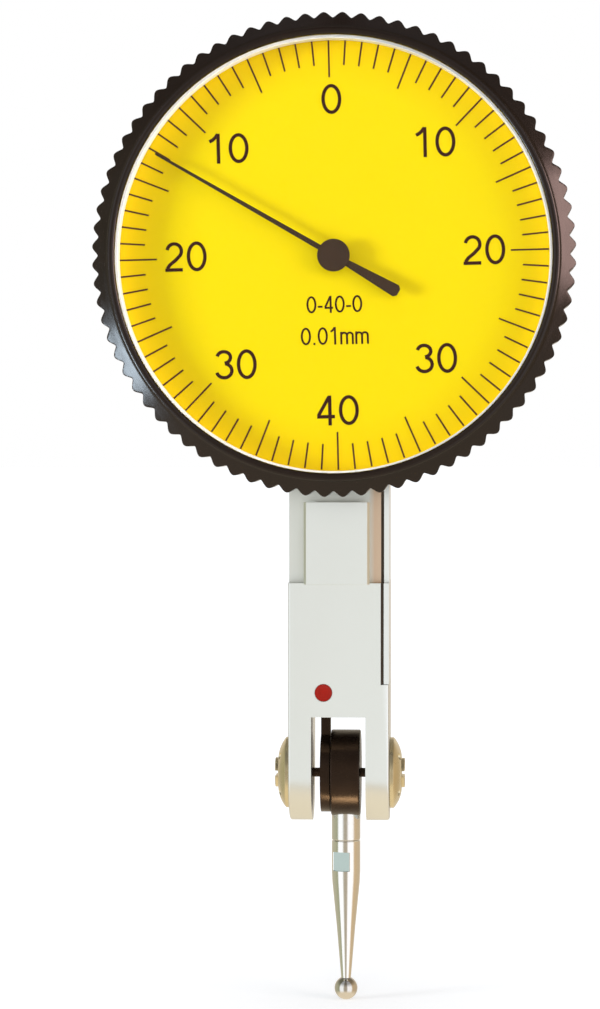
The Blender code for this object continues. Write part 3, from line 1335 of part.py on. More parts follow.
def pillar(number, across, up):
    """A round pillar with a spigot in the casting's wall and a tapped end for its screw."""
    thread = PLATE_SCREW_SHANK + SEAT_GAP
    left = CAVITY_LEFT + SEAT_GAP
    right = PLATE_LEFT - SEAT_GAP
    thread_end = right - PLATE_SCREW_REACH - SEAT_GAP
    profile = [
        (0, CAVITY_LEFT - PILLAR_SPIGOT_LENGTH),
        (PILLAR_SPIGOT, CAVITY_LEFT - PILLAR_SPIGOT_LENGTH),
        (PILLAR_SPIGOT, left),
        (PILLAR_RADIUS, left),
        (PILLAR_RADIUS, right),
        (thread, right),
        (thread, thread_end),
        (0, thread_end),
    ]
    turned(f"pillar_{number}", "X", (0, across, up), profile, TINY_ROUND, BRASS)


def plate_screw(name, place):
    headed_screw(
        name,
        "X",
        place,
        PLATE_RIGHT,
        PLATE_LEFT - PLATE_SCREW_REACH,
        PLATE_SCREW_HEAD,
        PLATE_SCREW_HEAD_HEIGHT,
        PLATE_SCREW_SHANK,
        BRIGHT_STEEL,
    )


def centre_cock():
    """An L shaped bar on the plate that carries the centre pinion's rear jewel."""
    low = (COCK_LEFT, COCK_FRONT, DIAL_HEIGHT - COCK_BELOW)
    high = (COCK_RIGHT, COCK_BACK, DIAL_HEIGHT + COCK_ABOVE)
    made = block("centre_cock", low, high, BRASS)
    ends = (COCK_FRONT - OVERRUN, COCK_BACK + OVERRUN)
    drill(made, "Y", DIAL_CENTRE, COCK_JEWEL + SEAT_GAP, *ends, TINY_ROUND)
    thread = PLATE_SCREW_SHANK + SEAT_GAP
    deep = PLATE_LEFT - PLATE_SCREW_REACH - SEAT_GAP
    drill(made, "X", COCK_SCREW_PLACE, thread, deep, PLATE_LEFT + OVERRUN, TINY_ROUND)


movement_plate()
for number, (across, up) in enumerate(PILLARS, 1):
    pillar(number, across, up)
    plate_screw(f"plate_screw_{number}", (0, across, up))
centre_cock()
plate_screw("cock_screw", COCK_SCREW_PLACE)
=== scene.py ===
"""The looks of the lever dial test indicator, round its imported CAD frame.

Sums are in millimetres in the frame of the CAD model: +X right, the dial faces -Y, +Z up. The meshes
are in metres. Angles round the dial are counted anticlockwise from +X as the dial is read.
"""

import math

import bmesh
import bpy
import numpy as np
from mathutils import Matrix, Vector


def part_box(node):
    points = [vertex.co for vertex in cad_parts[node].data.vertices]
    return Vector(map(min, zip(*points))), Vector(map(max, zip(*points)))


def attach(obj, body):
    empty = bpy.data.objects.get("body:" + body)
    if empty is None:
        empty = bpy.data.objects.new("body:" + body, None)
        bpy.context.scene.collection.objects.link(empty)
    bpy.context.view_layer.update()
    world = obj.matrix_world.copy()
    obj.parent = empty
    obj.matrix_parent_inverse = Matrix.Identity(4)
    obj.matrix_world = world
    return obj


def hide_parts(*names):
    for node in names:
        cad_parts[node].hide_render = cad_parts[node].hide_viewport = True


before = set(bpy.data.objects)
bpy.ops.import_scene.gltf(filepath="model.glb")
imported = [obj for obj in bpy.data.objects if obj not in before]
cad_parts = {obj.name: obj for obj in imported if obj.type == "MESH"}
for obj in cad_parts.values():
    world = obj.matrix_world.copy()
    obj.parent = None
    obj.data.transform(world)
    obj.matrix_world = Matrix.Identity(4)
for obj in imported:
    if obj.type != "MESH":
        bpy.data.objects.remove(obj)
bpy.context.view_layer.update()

MM = 0.001


def linear(colour):
    """An sRGB colour of 0 to 255 as Blender's linear one: straight below 0.04, then a power of 2.4."""
    share = np.array(colour) / 255
    return np.where(share <= 0.04045, share / 12.92, ((share + 0.055) / 1.055) ** 2.4)


# The view and the light: a long lens a little right of the dial and below it, in a white tent with a
# cool soft box on the left, a warmer one on the right and one above, over a pale floor under the ball.
# Gloss doesn't show these lamps. It shows the room, and a few pieces also show bright cards.
VIEW_PLACE = (10.2, -260, 8.3)
VIEW_YAW_DEG = 2.93
VIEW_PITCH_DEG = -1.11
VIEW_LENS_MM = 109.3
TENT_GLOW = 0.5
# The floor's glow near the ball's foot and far off: the lower glow near the foot paints a soft shade round
# it.
FLOOR_GLOW = (0.44, 0.8)
FLOOR_GLOW_REACH = (4, 70)
CEILING_FROM = 0.25
CEILING_TO = 0.7
CEILING_SHARE = 0.35
ROOM_GAIN = 1.285
ROOM_TONES = [
    (-180, (206, 196, 181)),
    (-152, (206, 196, 181)),
    (-136, (168, 163, 143)),
    (-90, (158, 157, 132)),
    (-70, (142, 143, 118)),
    (-60, (240, 242, 243)),
    (-28, (240, 242, 243)),
    (-16, (160, 152, 136)),
    (8, (158, 148, 132)),
    (20, (243, 241, 242)),
    (58, (243, 241, 239)),
    (72, (186, 162, 128)),
    (136, (176, 160, 134)),
    (152, (206, 196, 181)),
    (180, (206, 196, 181)),
]
FLOOR_TONE = (244, 227, 197)
FLOOR_FROM = -0.35
FLOOR_TO = -0.7
FLOOR_SIZE = 6
FLOOR_PAINT = (231, 230, 227)
FLOOR_GLOW_TINT = (240, 246, 255)

camera = bpy.data.objects.new("camera", bpy.data.cameras.new("camera"))
camera.data.lens = VIEW_LENS_MM
camera.data.sensor_width = 36
camera.data.clip_start = 1 * MM
camera.location = np.array(VIEW_PLACE) * MM
camera.rotation_euler = (math.radians(90 + VIEW_PITCH_DEG), 0, math.radians(VIEW_YAW_DEG))
bpy.context.scene.collection.objects.link(camera)
bpy.context.scene.camera = camera
bpy.context.scene.view_settings.view_transform = "Standard"


def soft_box(name, place, aim, size, watts, colour, card=False):
    """A square lamp that faces a point. Only matt surfaces show it, and only gloss shows a card."""
    lamp = bpy.data.lights.new(name, "AREA")
    lamp.size = size * MM
    lamp.energy = watts
    lamp.color = linear(colour)
    made = bpy.data.objects.new(name, lamp)
    made.location = np.array(place) * MM
    way = np.array(aim, float) - np.array(place, float)
    flat = math.hypot(way[0], way[1])
    made.rotation_euler = (math.pi / 2 + math.atan2(way[2], flat), 0, math.atan2(-way[0], way[1]))
    made.visible_camera = False
    made.visible_diffuse = not card
    made.visible_glossy = card
    bpy.context.scene.collection.objects.link(made)
    return made


def shine_on(lamp, *pieces):
    """Keeps a lamp's light to some pieces, as flags beside it would."""
    lit_pieces = bpy.data.collections.new(lamp.name + "_lights")
    for piece in pieces:
        lit_pieces.objects.link(piece)
    lamp.light_linking.receiver_collection = lit_pieces


soft_box("left_soft_box", (-370, -200, 4), (0, 0, 12), 110, 1.7, (246, 250, 255))
soft_box("right_soft_box", (330, -230, 60), (0, 0, 0), 220, 0.8, (255, 240, 232))
soft_box("top_soft_box", (0, -320, 120), (0, 0, 0), 160, 0.24, (255, 252, 246))
ring_fill = soft_box("ring_fill", (260, -200, 40), (0, 0, 24), 120, 1.1, (255, 250, 240))
left_card = soft_box("left_card", (-94, -40, -18), (-18, -8, 16), 30, 0.07, (222, 240, 255), card=True)
right_card = soft_box("right_card", (142, -58, 50), (19, -8, 30), 80, 0.2, (255, 214, 206), card=True)
low_card = soft_box("low_card", (0.6, -4, -38.5), (0.6, 0, -22), 4, 0.0009, (255, 236, 190), card=True)
# These two stand where the body's flat front mirrors the camera.
front_card = soft_box("front_card", (-10, -260, -35), (0, 0, -15), 190, 0.056, (240, 250, 255), card=True)
cover_card = soft_box("cover_card", (-10, -260, -35), (0, 0, -15), 190, 0.07, (60, 180, 255), card=True)


def math_node(tree, operation, *values):
    """A Math node on sockets or plain numbers. Returns its result."""
    node = tree.nodes.new("ShaderNodeMath")
    node.operation = operation
    for value, socket in zip(values, node.inputs):
        if isinstance(value, (int, float)):
            socket.default_value = value
        else:
            tree.links.new(value, socket)
    return node.outputs[0]


def map_range(tree, value, start, end, low, high):
    """A number that goes from low to high as the value goes from start to end."""
    node = tree.nodes.new("ShaderNodeMapRange")
    for label, limit in (("From Min", start), ("From Max", end), ("To Min", low), ("To Max", high)):
        node.inputs[label].default_value = limit
    tree.links.new(value, node.inputs["Value"])
    return node.outputs["Result"]


def mix_colours(tree, mask, one, two):
    """One colour where the mask is 0 and the other where it is 1. Each is a linear colour or a socket."""
    node = tree.nodes.new("ShaderNodeMix")
    node.data_type = "RGBA"
    tree.links.new(mask, node.inputs["Factor"])
    for side, colour in (("A", one), ("B", two)):
        socket = next(i for i in node.inputs if i.name == side and i.type == "RGBA")
        if isinstance(colour, bpy.types.NodeSocket):
            tree.links.new(colour, socket)
        else:
            socket.default_value = (*colour, 1)
    return next(o for o in node.outputs if o.type == "RGBA")


def ray_kinds(tree):
    """Two masks: a ray that shows the background as it is, to the camera or through a clear pane, and a
    ray from gloss."""
    path = tree.nodes.new("ShaderNodeLightPath")
    direct = [path.outputs["Is Camera Ray"], path.outputs["Is Transmission Ray"]]
    return math_node(tree, "MAXIMUM", *direct), path.outputs["Is Glossy Ray"]


# Gloss shows the room by its direction: greyish behind the camera, white tent walls each side of it, a
# tan studio further round, a dim ceiling and a beige table. All else is lit evenly by the tent.
world = bpy.data.worlds.new("white_tent")
world.use_nodes = True
bpy.context.scene.world = world
room_tree = world.node_tree
direction = room_tree.nodes.new("ShaderNodeTexCoord")
direction_parts = room_tree.nodes.new("ShaderNodeSeparateXYZ")
room_tree.links.new(direction.outputs["Generated"], direction_parts.inputs[0])
toward_camera = math_node(room_tree, "MULTIPLY", direction_parts.outputs["Y"], -1)
round_turn = math_node(room_tree, "ARCTAN2", direction_parts.outputs["X"], toward_camera)
room_share = math_node(room_tree, "ADD", math_node(room_tree, "DIVIDE", round_turn, 2 * math.pi), 0.5)
room = room_tree.nodes.new("ShaderNodeValToRGB")
while len(room.color_ramp.elements) < len(ROOM_TONES):
    room.color_ramp.elements.new(0.5)
for stop, (degrees, tone) in zip(room.color_ramp.elements, ROOM_TONES):
    stop.position = degrees / 360 + 0.5
    stop.color = (*linear(tone), 1)
room_tree.links.new(room_share, room.inputs["Fac"])
ceiling = map_range(room_tree, direction_parts.outputs["Z"], CEILING_FROM, CEILING_TO, 1, CEILING_SHARE)
room_colour = room_tree.nodes.new("ShaderNodeVectorMath")
room_colour.operation = "SCALE"
room_tree.links.new(room.outputs["Color"], room_colour.inputs["Vector"])
room_tree.links.new(math_node(room_tree, "MULTIPLY", ceiling, ROOM_GAIN), room_colour.inputs["Scale"])
straight, glossy = ray_kinds(room_tree)
table = map_range(room_tree, direction_parts.outputs["Z"], FLOOR_FROM, FLOOR_TO, 0, 1)
gloss_view = mix_colours(room_tree, table, room_colour.outputs["Vector"], linear(FLOOR_TONE))
lit = mix_colours(room_tree, glossy, (TENT_GLOW, TENT_GLOW, TENT_GLOW), gloss_view)
shown = mix_colours(room_tree, straight, lit, (1, 1, 1))
room_tree.links.new(shown, room_tree.nodes["Background"].inputs["Color"])

# The floor glows to the camera, less near the ball's foot, so that it is white further off and still keeps
# the shadow there;
# the weaker glow also paints a soft grey shade round the foot. Gloss doesn't see it, but the table's tone
# in the room.
ball_low, ball_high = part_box("ball")
floor_top = ball_low.z
floor_mesh = bpy.data.meshes.new("floor")
floor_corners = np.array([(-1, -1, 0), (1, -1, 0), (1, 1, 0), (-1, 1, 0)]) * FLOOR_SIZE
floor_mesh.from_pydata((floor_corners + (0, 0, floor_top)).tolist(), [], [(0, 1, 2, 3)])
floor = bpy.data.objects.new("floor", floor_mesh)
floor.visible_glossy = False
bpy.context.scene.collection.objects.link(floor)
floor_paint = bpy.data.materials.new("pale_floor")
floor_paint.use_nodes = True
floor_tree = floor_paint.node_tree
floor_shader = floor_tree.nodes["Principled BSDF"]
floor_shader.inputs["Base Color"].default_value = (*linear(FLOOR_PAINT), 1)
floor_shader.inputs["Roughness"].default_value = 0.9
floor_shader.inputs["Emission Color"].default_value = (*linear(FLOOR_GLOW_TINT), 1)
floor_place = floor_tree.nodes.new("ShaderNodeTexCoord")
from_foot = floor_tree.nodes.new("ShaderNodeVectorMath")
from_foot.operation = "DISTANCE"
from_foot.inputs[1].default_value = (*((ball_low + ball_high) / 2).xy, floor_top)
floor_tree.links.new(floor_place.outputs["Object"], from_foot.inputs[0])
near_foot, far_off = (reach * MM for reach in FLOOR_GLOW_REACH)
foot_shaded_glow = map_range(floor_tree, from_foot.outputs["Value"], near_foot, far_off, *FLOOR_GLOW)
straight = ray_kinds(floor_tree)[0]
shown_glow = math_node(floor_tree, "MULTIPLY", straight, foot_shaded_glow)
floor_tree.links.new(shown_glow, floor_shader.inputs["Emission Strength"])
floor_mesh.materials.append(floor_paint)


# The body: one steel casting, satin chromed all over, with a dovetail on its front, back and top, a boss
# for the dial case and a fork for the lever. Its edges are eased and the blasted skin is very fine.


def float_group(name, inputs, outputs):
    """A shader node group with number inputs, given with their values, and number outputs."""
    group = bpy.data.node_groups.new(name, "ShaderNodeTree")
    for label, kind, value in inputs:
        socket = group.interface.new_socket(label, in_out="INPUT", socket_type=kind)
        socket.default_value = value
    for label in outputs:
        group.interface.new_socket(label, in_out="OUTPUT", socket_type="NodeSocketFloat")
    return group, group.nodes.new("NodeGroupInput"), group.nodes.new("NodeGroupOutput")


def make_grain():
    """Noise in object space, 0 to 1, with its own number of grains to the metre along each axis."""
    inputs = [("Grains", "NodeSocketVector", (1000, 1000, 1000)), ("Detail", "NodeSocketFloat", 3)]
    group, entry, leave = float_group("grain", inputs, ["Value"])
    place = group.nodes.new("ShaderNodeTexCoord")
    spread = group.nodes.new("ShaderNodeVectorMath")
    spread.operation = "MULTIPLY"
    noise = group.nodes.new("ShaderNodeTexNoise")
    noise.inputs["Scale"].default_value = 1
    group.links.new(place.outputs["Object"], spread.inputs[0])
    group.links.new(entry.outputs["Grains"], spread.inputs[1])
    group.links.new(spread.outputs["Vector"], noise.inputs["Vector"])
    group.links.new(entry.outputs["Detail"], noise.inputs["Detail"])
    group.links.new(noise.outputs["Fac"], leave.inputs["Value"])
    return group


def make_from_axis():
    """How far a place is from the dial's axis, in millimetres."""
    group, entry, leave = float_group("from_dial_axis", [], ["Radius"])
    place = group.nodes.new("ShaderNodeTexCoord")
    parts = group.nodes.new("ShaderNodeSeparateXYZ")
    group.links.new(place.outputs["Object"], parts.inputs[0])
    across = math_node(group, "MULTIPLY", parts.outputs["X"], 1 / MM)
    up = math_node(group, "MULTIPLY", parts.outputs["Z"], 1 / MM)
    above = math_node(group, "SUBTRACT", up, DIAL_CENTRE[2])
    squares = [math_node(group, "POWER", side, 2) for side in (across, above)]
    group.links.new(math_node(group, "SQRT", math_node(group, "ADD", *squares)), leave.inputs["Radius"])
    return group


DIAL_CENTRE = (0, 0, 24)
GRAIN = make_grain()
FROM_AXIS = make_from_axis()


class Finish:
    """A Principled material that is built up effect by effect."""

    def __init__(self, name, colour, roughness, metallic=0, **sockets):
        self.material = bpy.data.materials.new(name)
        self.material.use_nodes = True
        self.tree = self.material.node_tree
        self.shader = self.tree.nodes["Principled BSDF"]
        self.shader.inputs["Base Color"].default_value = (*linear(colour), 1)
        self.shader.inputs["Roughness"].default_value = roughness
        self.shader.inputs["Metallic"].default_value = metallic
        for label, value in sockets.items():
            self.shader.inputs[label.replace("_", " ")].default_value = value

    def grain(self, grains, detail=3):
        node = self.tree.nodes.new("ShaderNodeGroup")
        node.node_tree = GRAIN
        node.inputs["Grains"].default_value = grains
        node.inputs["Detail"].default_value = detail
        return node.outputs["Value"]

    def between(self, value, low, high, start=0.3, end=0.7):
        """The value between two limits, turned into a number from low to high."""
        return map_range(self.tree, value, start, end, low, high)

    def mixed(self, mask, one, two):
        """One colour where the mask is 0 and the other where it is 1. Each may be a socket."""
        one, two = (linear(colour) if isinstance(colour, tuple) else colour for colour in (one, two))
        return mix_colours(self.tree, mask, one, two)

    def varied(self, label, grains, low, high, detail=3):
        """Feeds an input with noise between two numbers."""
        self.feed(label, self.between(self.grain(grains, detail), low, high))

    def toned(self, grains, one, two, detail=3):
        """Feeds the base colour with noise between two colours."""
        self.feed("Base Color", self.mixed(self.grain(grains, detail), one, two))

    def from_axis(self):
        node = self.tree.nodes.new("ShaderNodeGroup")
        node.node_tree = FROM_AXIS
        return node.outputs["Radius"]

    def place(self):
        """The object coordinates, in millimetres, as three separate numbers."""
        coordinates = self.tree.nodes.new("ShaderNodeTexCoord")
        scaled = self.tree.nodes.new("ShaderNodeVectorMath")
        scaled.operation = "SCALE"
        scaled.inputs["Scale"].default_value = 1 / MM
        parts = self.tree.nodes.new("ShaderNodeSeparateXYZ")
        self.tree.links.new(coordinates.outputs["Object"], scaled.inputs[0])
        self.tree.links.new(scaled.outputs["Vector"], parts.inputs[0])
        return parts.outputs

    def feed(self, label, value):
        self.tree.links.new(value, self.shader.inputs[label])

    def bump(self, height, depth, eased=0):
        """Bumps of a real depth in millimetres, over edges that look eased by a real radius."""
        node = self.tree.nodes.new("ShaderNodeBump")
        node.inputs["Strength"].default_value = 1
        node.inputs["Distance"].default_value = depth * MM
        self.tree.links.new(height, node.inputs["Height"])
        if eased:
            corner = self.tree.nodes.new("ShaderNodeBevel")
            corner.samples = 4
            corner.inputs["Radius"].default_value = eased * MM
            self.tree.links.new(corner.outputs["Normal"], node.inputs["Normal"])
        self.feed("Normal", node.outputs["Normal"])


def dress(finish, *nodes):
    """Gives CAD nodes a finish."""
    for node in nodes:
        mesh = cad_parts[node].data
        mesh.materials.clear()
        mesh.materials.append(finish.material)


def shade(mesh, sharp_deg):
    """Smooth normals that leave flats flat: each corner takes the mean, by area, of those faces round its
    point that lean less than an angle away from its own face."""
    count = len(mesh.polygons)
    face_normals = np.zeros(3 * count)
    areas = np.zeros(count)
    corners = np.zeros(count, int)
    points = np.zeros(len(mesh.loops), int)
    mesh.polygons.foreach_get("normal", face_normals)
    mesh.polygons.foreach_get("area", areas)
    mesh.polygons.foreach_get("loop_total", corners)
    mesh.loops.foreach_get("vertex_index", points)
    face_of = np.repeat(np.arange(count), corners)
    order = np.argsort(points, kind="stable")
    first = np.searchsorted(points[order], np.arange(len(mesh.vertices)))
    rank = np.arange(len(order)) - first[points[order]]
    around = np.full((len(mesh.vertices), rank.max() + 1), count)
    around[points[order], rank] = face_of[order]
    # The last face, which stands for no face in the table, has no normal.
    normals = np.vstack([face_normals.reshape(-1, 3), np.zeros(3)])
    weights = np.append(areas, 0) / areas.max()
    near = around[points]
    lean = np.einsum("ijk,ik->ij", normals[near], normals[face_of])
    share = weights[near] * (lean > math.cos(math.radians(sharp_deg)))
    sums = np.einsum("ij,ijk->ik", share, normals[near])
    length = np.linalg.norm(sums, axis=1, keepdims=True)
    smooth = np.where(length > 0, sums / np.maximum(length, 1e-30), normals[face_of])
    mesh.shade_smooth()
    mesh.normals_split_custom_set(smooth.tolist())


def show(name, mesh, finish, body, nodes, sharp_deg=30):
    """Puts a finished mesh on its body, smooth but for its real corners, in place of CAD nodes."""
    shade(mesh, sharp_deg)
    mesh.materials.clear()
    mesh.materials.append(finish.material)
    made = bpy.data.objects.new(name, mesh)
    bpy.context.scene.collection.objects.link(made)
    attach(made, body)
    if nodes:
        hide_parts(*nodes)
    return made


def joined_copy(name, node):
    """The CAD node's own shape, with its loose triangles joined so that it can be shaded smooth."""
    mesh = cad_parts[node].data.copy()
    mesh.name = name
    bm = bmesh.new()
    bm.from_mesh(mesh)
    bmesh.ops.remove_doubles(bm, verts=bm.verts, dist=0.0005 * MM)
    bm.to_mesh(mesh)
    bm.free()
    return mesh


# The recesses beside the front pad are painted darker, a painted shade, and warmer towards the cover's
# side, a painted warm reflection.
RECESS_FROM = 0.7
RECESS_TO = 1.1
RECESS_SIDE = 4.05
RECESS_BOTTOM = -5
COVER_SIDE = (2.7, 3.2)
satin_chrome = Finish("satin_chrome", (226, 228, 225), 0.34, 1)
clouds = satin_chrome.grain((70, 70, 45), 4)
plating = satin_chrome.mixed(clouds, (243, 248, 250), (236, 240, 239))
chrome_place = satin_chrome.place()
deep = satin_chrome.between(chrome_place["Y"], 0, 1, RECESS_FROM, RECESS_TO)
from_middle = math_node(satin_chrome.tree, "ABSOLUTE", chrome_place["X"])
within = math_node(satin_chrome.tree, "LESS_THAN", from_middle, RECESS_SIDE)
above = math_node(satin_chrome.tree, "GREATER_THAN", chrome_place["Z"], RECESS_BOTTOM)
to_right = satin_chrome.between(chrome_place["X"], 0, 1, *COVER_SIDE)
# Painted shade for the recesses: cool grey on the left, turning to a painted warm reflection towards the
# cover.
painted_recess_shade = satin_chrome.mixed(to_right, (229, 233, 231), (219, 194, 172))
between_pads = math_node(satin_chrome.tree, "MULTIPLY", within, above)
recess_shade_mask = math_node(satin_chrome.tree, "MULTIPLY", deep, between_pads)
satin_chrome.feed("Base Color", satin_chrome.mixed(recess_shade_mask, plating, painted_recess_shade))
satin_chrome.varied("Roughness", (160, 160, 90), 0.3, 0.4, 4)
satin_chrome.bump(satin_chrome.grain((9000, 9000, 9000), 2), 0.0025, eased=0.03)
casting = joined_copy("body_casting", "body_frame")
body = show("body_casting", casting, satin_chrome, "frame", ["body_frame"])


# The red plug: a small lacquered disc pressed into the casting above the fork, a little crowned, and
# flat enough in the middle to look painted.


def faces_of_grid(rows, columns, closed):
    """Four sided faces between neighbours on a grid whose columns wrap round. Closed rows wrap as well."""
    row = np.arange(rows if closed else rows - 1)[:, None]
    column = np.arange(columns)[None, :]
    below = (row + 1) % rows
    after = (column + 1) % columns
    corners = [(row, column), (below, column), (below, after), (row, after)]
    return np.stack([across * columns + along for across, along in corners], axis=-1).reshape(-1, 4)


def mesh_of(name, points, faces):
    """A closed mesh from points in millimetres, with doubles at poles merged and its faces outwards."""
    mesh = bpy.data.meshes.new(name)
    mesh.from_pydata((np.asarray(points).reshape(-1, 3) * MM).tolist(), [], faces.tolist())
    bm = bmesh.new()
    bm.from_mesh(mesh)
    bmesh.ops.remove_doubles(bm, verts=bm.verts, dist=0.0002 * MM)
    bmesh.ops.recalc_face_normals(bm, faces=bm.faces)
    bm.to_mesh(mesh)
    bm.free()
    return mesh


def eased(profile, radius, steps=4):
    """A profile whose inner points become short parabolas: a quarter of the way round a corner is the
    square of what is left times the near end, plus twice the product of both times the corner, plus
    the square of what is done times the far end."""
    points = [np.array(profile[0], float)]
    share = np.linspace(0, 1, steps + 1)[:, None]
    for before, corner, after in zip(profile, profile[1:], profile[2:]):
        before, corner, after = (np.array(point, float) for point in (before, corner, after))
        near = min(radius, np.linalg.norm(before - corner) / 2)
        far = min(radius, np.linalg.norm(after - corner) / 2)
        first = corner + (before - corner) / np.linalg.norm(before - corner) * near
        last = corner + (after - corner) / np.linalg.norm(after - corner) * far
        points.extend((1 - share) ** 2 * first + 2 * share * (1 - share) * corner + share**2 * last)
    points.append(np.array(profile[-1], float))
    return np.array(points)


def placed(axis, centre, along, across, up):
    """Points from their places along an axis, across it and up. Across and up are +X and +Z for the axis
    Y, +Y and +Z for X, and +X and +Y for Z."""
    order = {"X": (along, across, up), "Y": (across, along, up), "Z": (across, up, along)}[axis]
    return np.stack(np.broadcast_arrays(*order), axis=-1) + np.array(centre)


def round_points(axis, centre, radius, along, turn):
    """Points at a radius and a turn round an axis, at a place along it, counted from across to up."""
    return placed(axis, centre, along, radius * np.cos(turn), radius * np.sin(turn))


def turned(name, axis, centre, profile, columns=128, closed=False):
    """A turned piece: each (radius, place along the axis) of its profile goes once round the axis."""
    profile = np.asarray(profile, float)
    turn = np.linspace(0, 2 * np.pi, columns, endpoint=False)[None, :]
    points = round_points(axis, centre, profile[:, :1], profile[:, 1:], turn)
    return mesh_of(name, points, faces_of_grid(len(profile), columns, closed))


def box_mm(node):
    low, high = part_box(node)
    return np.array(low) / MM, np.array(high) / MM


PLUG_CROWN = 0.05

low, high = box_mm("seal_plug")
plug_radius = (high[0] - low[0]) / 2
plug_share = np.linspace(0, 1, 12)
plug_crown = np.stack([plug_radius * plug_share, low[1] + PLUG_CROWN * plug_share**4], axis=-1)
plug_profile = [*plug_crown, (plug_radius, high[1]), (0, high[1])]
plug_centre = ((low[0] + high[0]) / 2, 0, (low[2] + high[2]) / 2)
red_lacquer = Finish("red_lacquer", (190, 40, 25), 0.3, Specular_IOR_Level=0.25)
red_lacquer.toned((900, 900, 900), (156, 26, 14), (124, 18, 10))
red_lacquer.bump(red_lacquer.grain((4000, 4000, 4000)), 0.002)
plug_mesh = turned("seal_plug_disc", "Y", plug_centre, plug_profile, 64)
show("seal_plug_disc", plug_mesh, red_lacquer, "frame", ["seal_plug"])


# The side cover: a chromed plate in the casting's right face, on a thin dark joint, held by four flush
# slotted screws. Behind it lie the plate, pillars, cock and jewels of the movement.


def slotted_screw(name, axis, centre, outer, sign, radius, slot, depth, stem, edge=0.06):
    """A slotted head and the stem under it. Across the head the height is a groove with eased lips, and
    each place across runs straight along the slot between the two ends of its chord of the circle."""
    half = slot / 2
    lip = edge / 2
    outside = np.linspace(-radius, -half - lip, 22)
    lips = [(-half, lip), (-half + lip / 4, depth - lip), (-half + lip, depth)]
    left = [*((place, 0) for place in outside), *lips]
    section = np.array([*left, (0, depth), *((-place, drop) for place, drop in reversed(left))])
    chord = np.sqrt(np.clip(radius**2 - section[:, 0] ** 2, 0, None))
    steps = np.linspace(-1, 1, 15)
    along_slot = chord[:, None] * steps[None, :]
    rim = np.clip((np.hypot(section[:, :1], along_slot) - radius + edge) / edge, 0, 1)
    sunk = np.maximum(section[:, 1:], edge * rim**2)
    height = outer - sign * sunk
    across = np.broadcast_to(section[:, :1], along_slot.shape)
    top = [placed(axis, centre, height, along_slot, across)]
    count = len(section)
    grid = np.arange(count * len(steps)).reshape(count, len(steps))
    corners = [grid[:-1, :-1], grid[1:, :-1], grid[1:, 1:], grid[:-1, 1:]]
    faces = [np.stack(corners, axis=-1).reshape(-1, 4)]
    ring = np.concatenate([grid[:, 0], grid[::-1, -1]])
    ring_points = top[0].reshape(-1, 3)[ring]
    rows = [ring]
    start = grid.size
    along_at = {"X": 0, "Y": 1, "Z": 2}[axis]
    for stem_radius, place in stem:
        shrunk = np.array(centre) + (ring_points - np.array(centre)) * (stem_radius / radius)
        shrunk[:, along_at] = place
        top.append(shrunk)
        rows.append(start + np.arange(len(ring)))
        start += len(ring)
    for one, two in zip(rows, rows[1:]):
        faces.append(np.stack([one, np.roll(one, -1), np.roll(two, -1), two], axis=-1))
    points = np.concatenate([part.reshape(-1, 3) for part in top])
    return mesh_of(name, points, np.concatenate(faces))


SCREW_SLOT = 0.2
SCREW_NECK_SHARE = 0.55
SCREW_HEAD_HEIGHT = 0.45
SCREW_EDGE = 0.04
bright_steel = Finish("bright_steel", (246, 246, 244), 0.16, 1)
bright_steel.toned((300, 300, 900), (248, 248, 246), (240, 240, 239), 4)
bright_steel.varied("Roughness", (500, 500, 2500), 0.12, 0.24, 4)
bright_steel.bump(bright_steel.grain((600, 600, 9000), 3), 0.0008)
# The cover's chrome is a lighter, bluer copy of the body's chrome: a painted highlight.
cover_chrome_painted_highlight = Finish("cover_chrome_painted_highlight", (247, 252, 255), 0.3, 1)
cover_chrome_painted_highlight.toned((70, 70, 45), (249, 253, 255), (240, 246, 251), 4)
cover_chrome_painted_highlight.varied("Roughness", (160, 160, 90), 0.26, 0.36, 4)
cover_chrome_painted_highlight.bump(cover_chrome_painted_highlight.grain((9000, 9000, 9000), 2), 0.0025, eased=0.03)
cover = joined_copy("side_cover_plate", "side_cover")
cover = show("side_cover_plate", cover, cover_chrome_painted_highlight, "frame", ["side_cover"])
shine_on(front_card, body, cover)
shine_on(cover_card, cover)
for number in range(1, 5):
    node = f"cover_screw_{number}"
    low, high = box_mm(node)
    screw_centre = (0, (low[1] + high[1]) / 2, (low[2] + high[2]) / 2)
    head = (high[1] - low[1]) / 2
    shank = head * SCREW_NECK_SHARE
    stem = [(shank, high[0] - SCREW_HEAD_HEIGHT), (shank, low[0]), (0, low[0])]
    name = f"cover_screw_head_{number}"
    slot = (SCREW_SLOT, SCREW_SLOT)
    screw = slotted_screw(name, "X", screw_centre, high[0], 1, head, *slot, stem, SCREW_EDGE)
    show(name, screw, bright_steel, "frame", [node])

dark_gasket = Finish("dark_gasket", (60, 50, 40), 0.85)
dark_gasket.toned((1500, 1500, 1500), (66, 56, 46), (46, 38, 32))
dark_gasket.bump(dark_gasket.grain((3000, 3000, 3000)), 0.003)
dress(dark_gasket, "cover_gasket")
brass = Finish("brass", (196, 164, 96), 0.3, 1)
brass.toned((600, 600, 600), (206, 174, 104), (180, 146, 82))
brass.varied("Roughness", (800, 800, 3000), 0.22, 0.38)
brass.bump(brass.grain((900, 900, 6000)), 0.001)
ruby = Finish("ruby", (170, 25, 50), 0.08, Coat_Weight=0.6)
ruby.toned((3000, 3000, 3000), (176, 24, 52), (140, 12, 36))
ruby.varied("Roughness", (4000, 4000, 4000), 0.05, 0.12)
dress(brass, "movement_plate", "pillar_1", "pillar_2", "pillar_3", "centre_cock")
dress(brass, "sector_lever", "crown_wheel")
dress(brass, "hairspring_collet", "hairspring_stud")
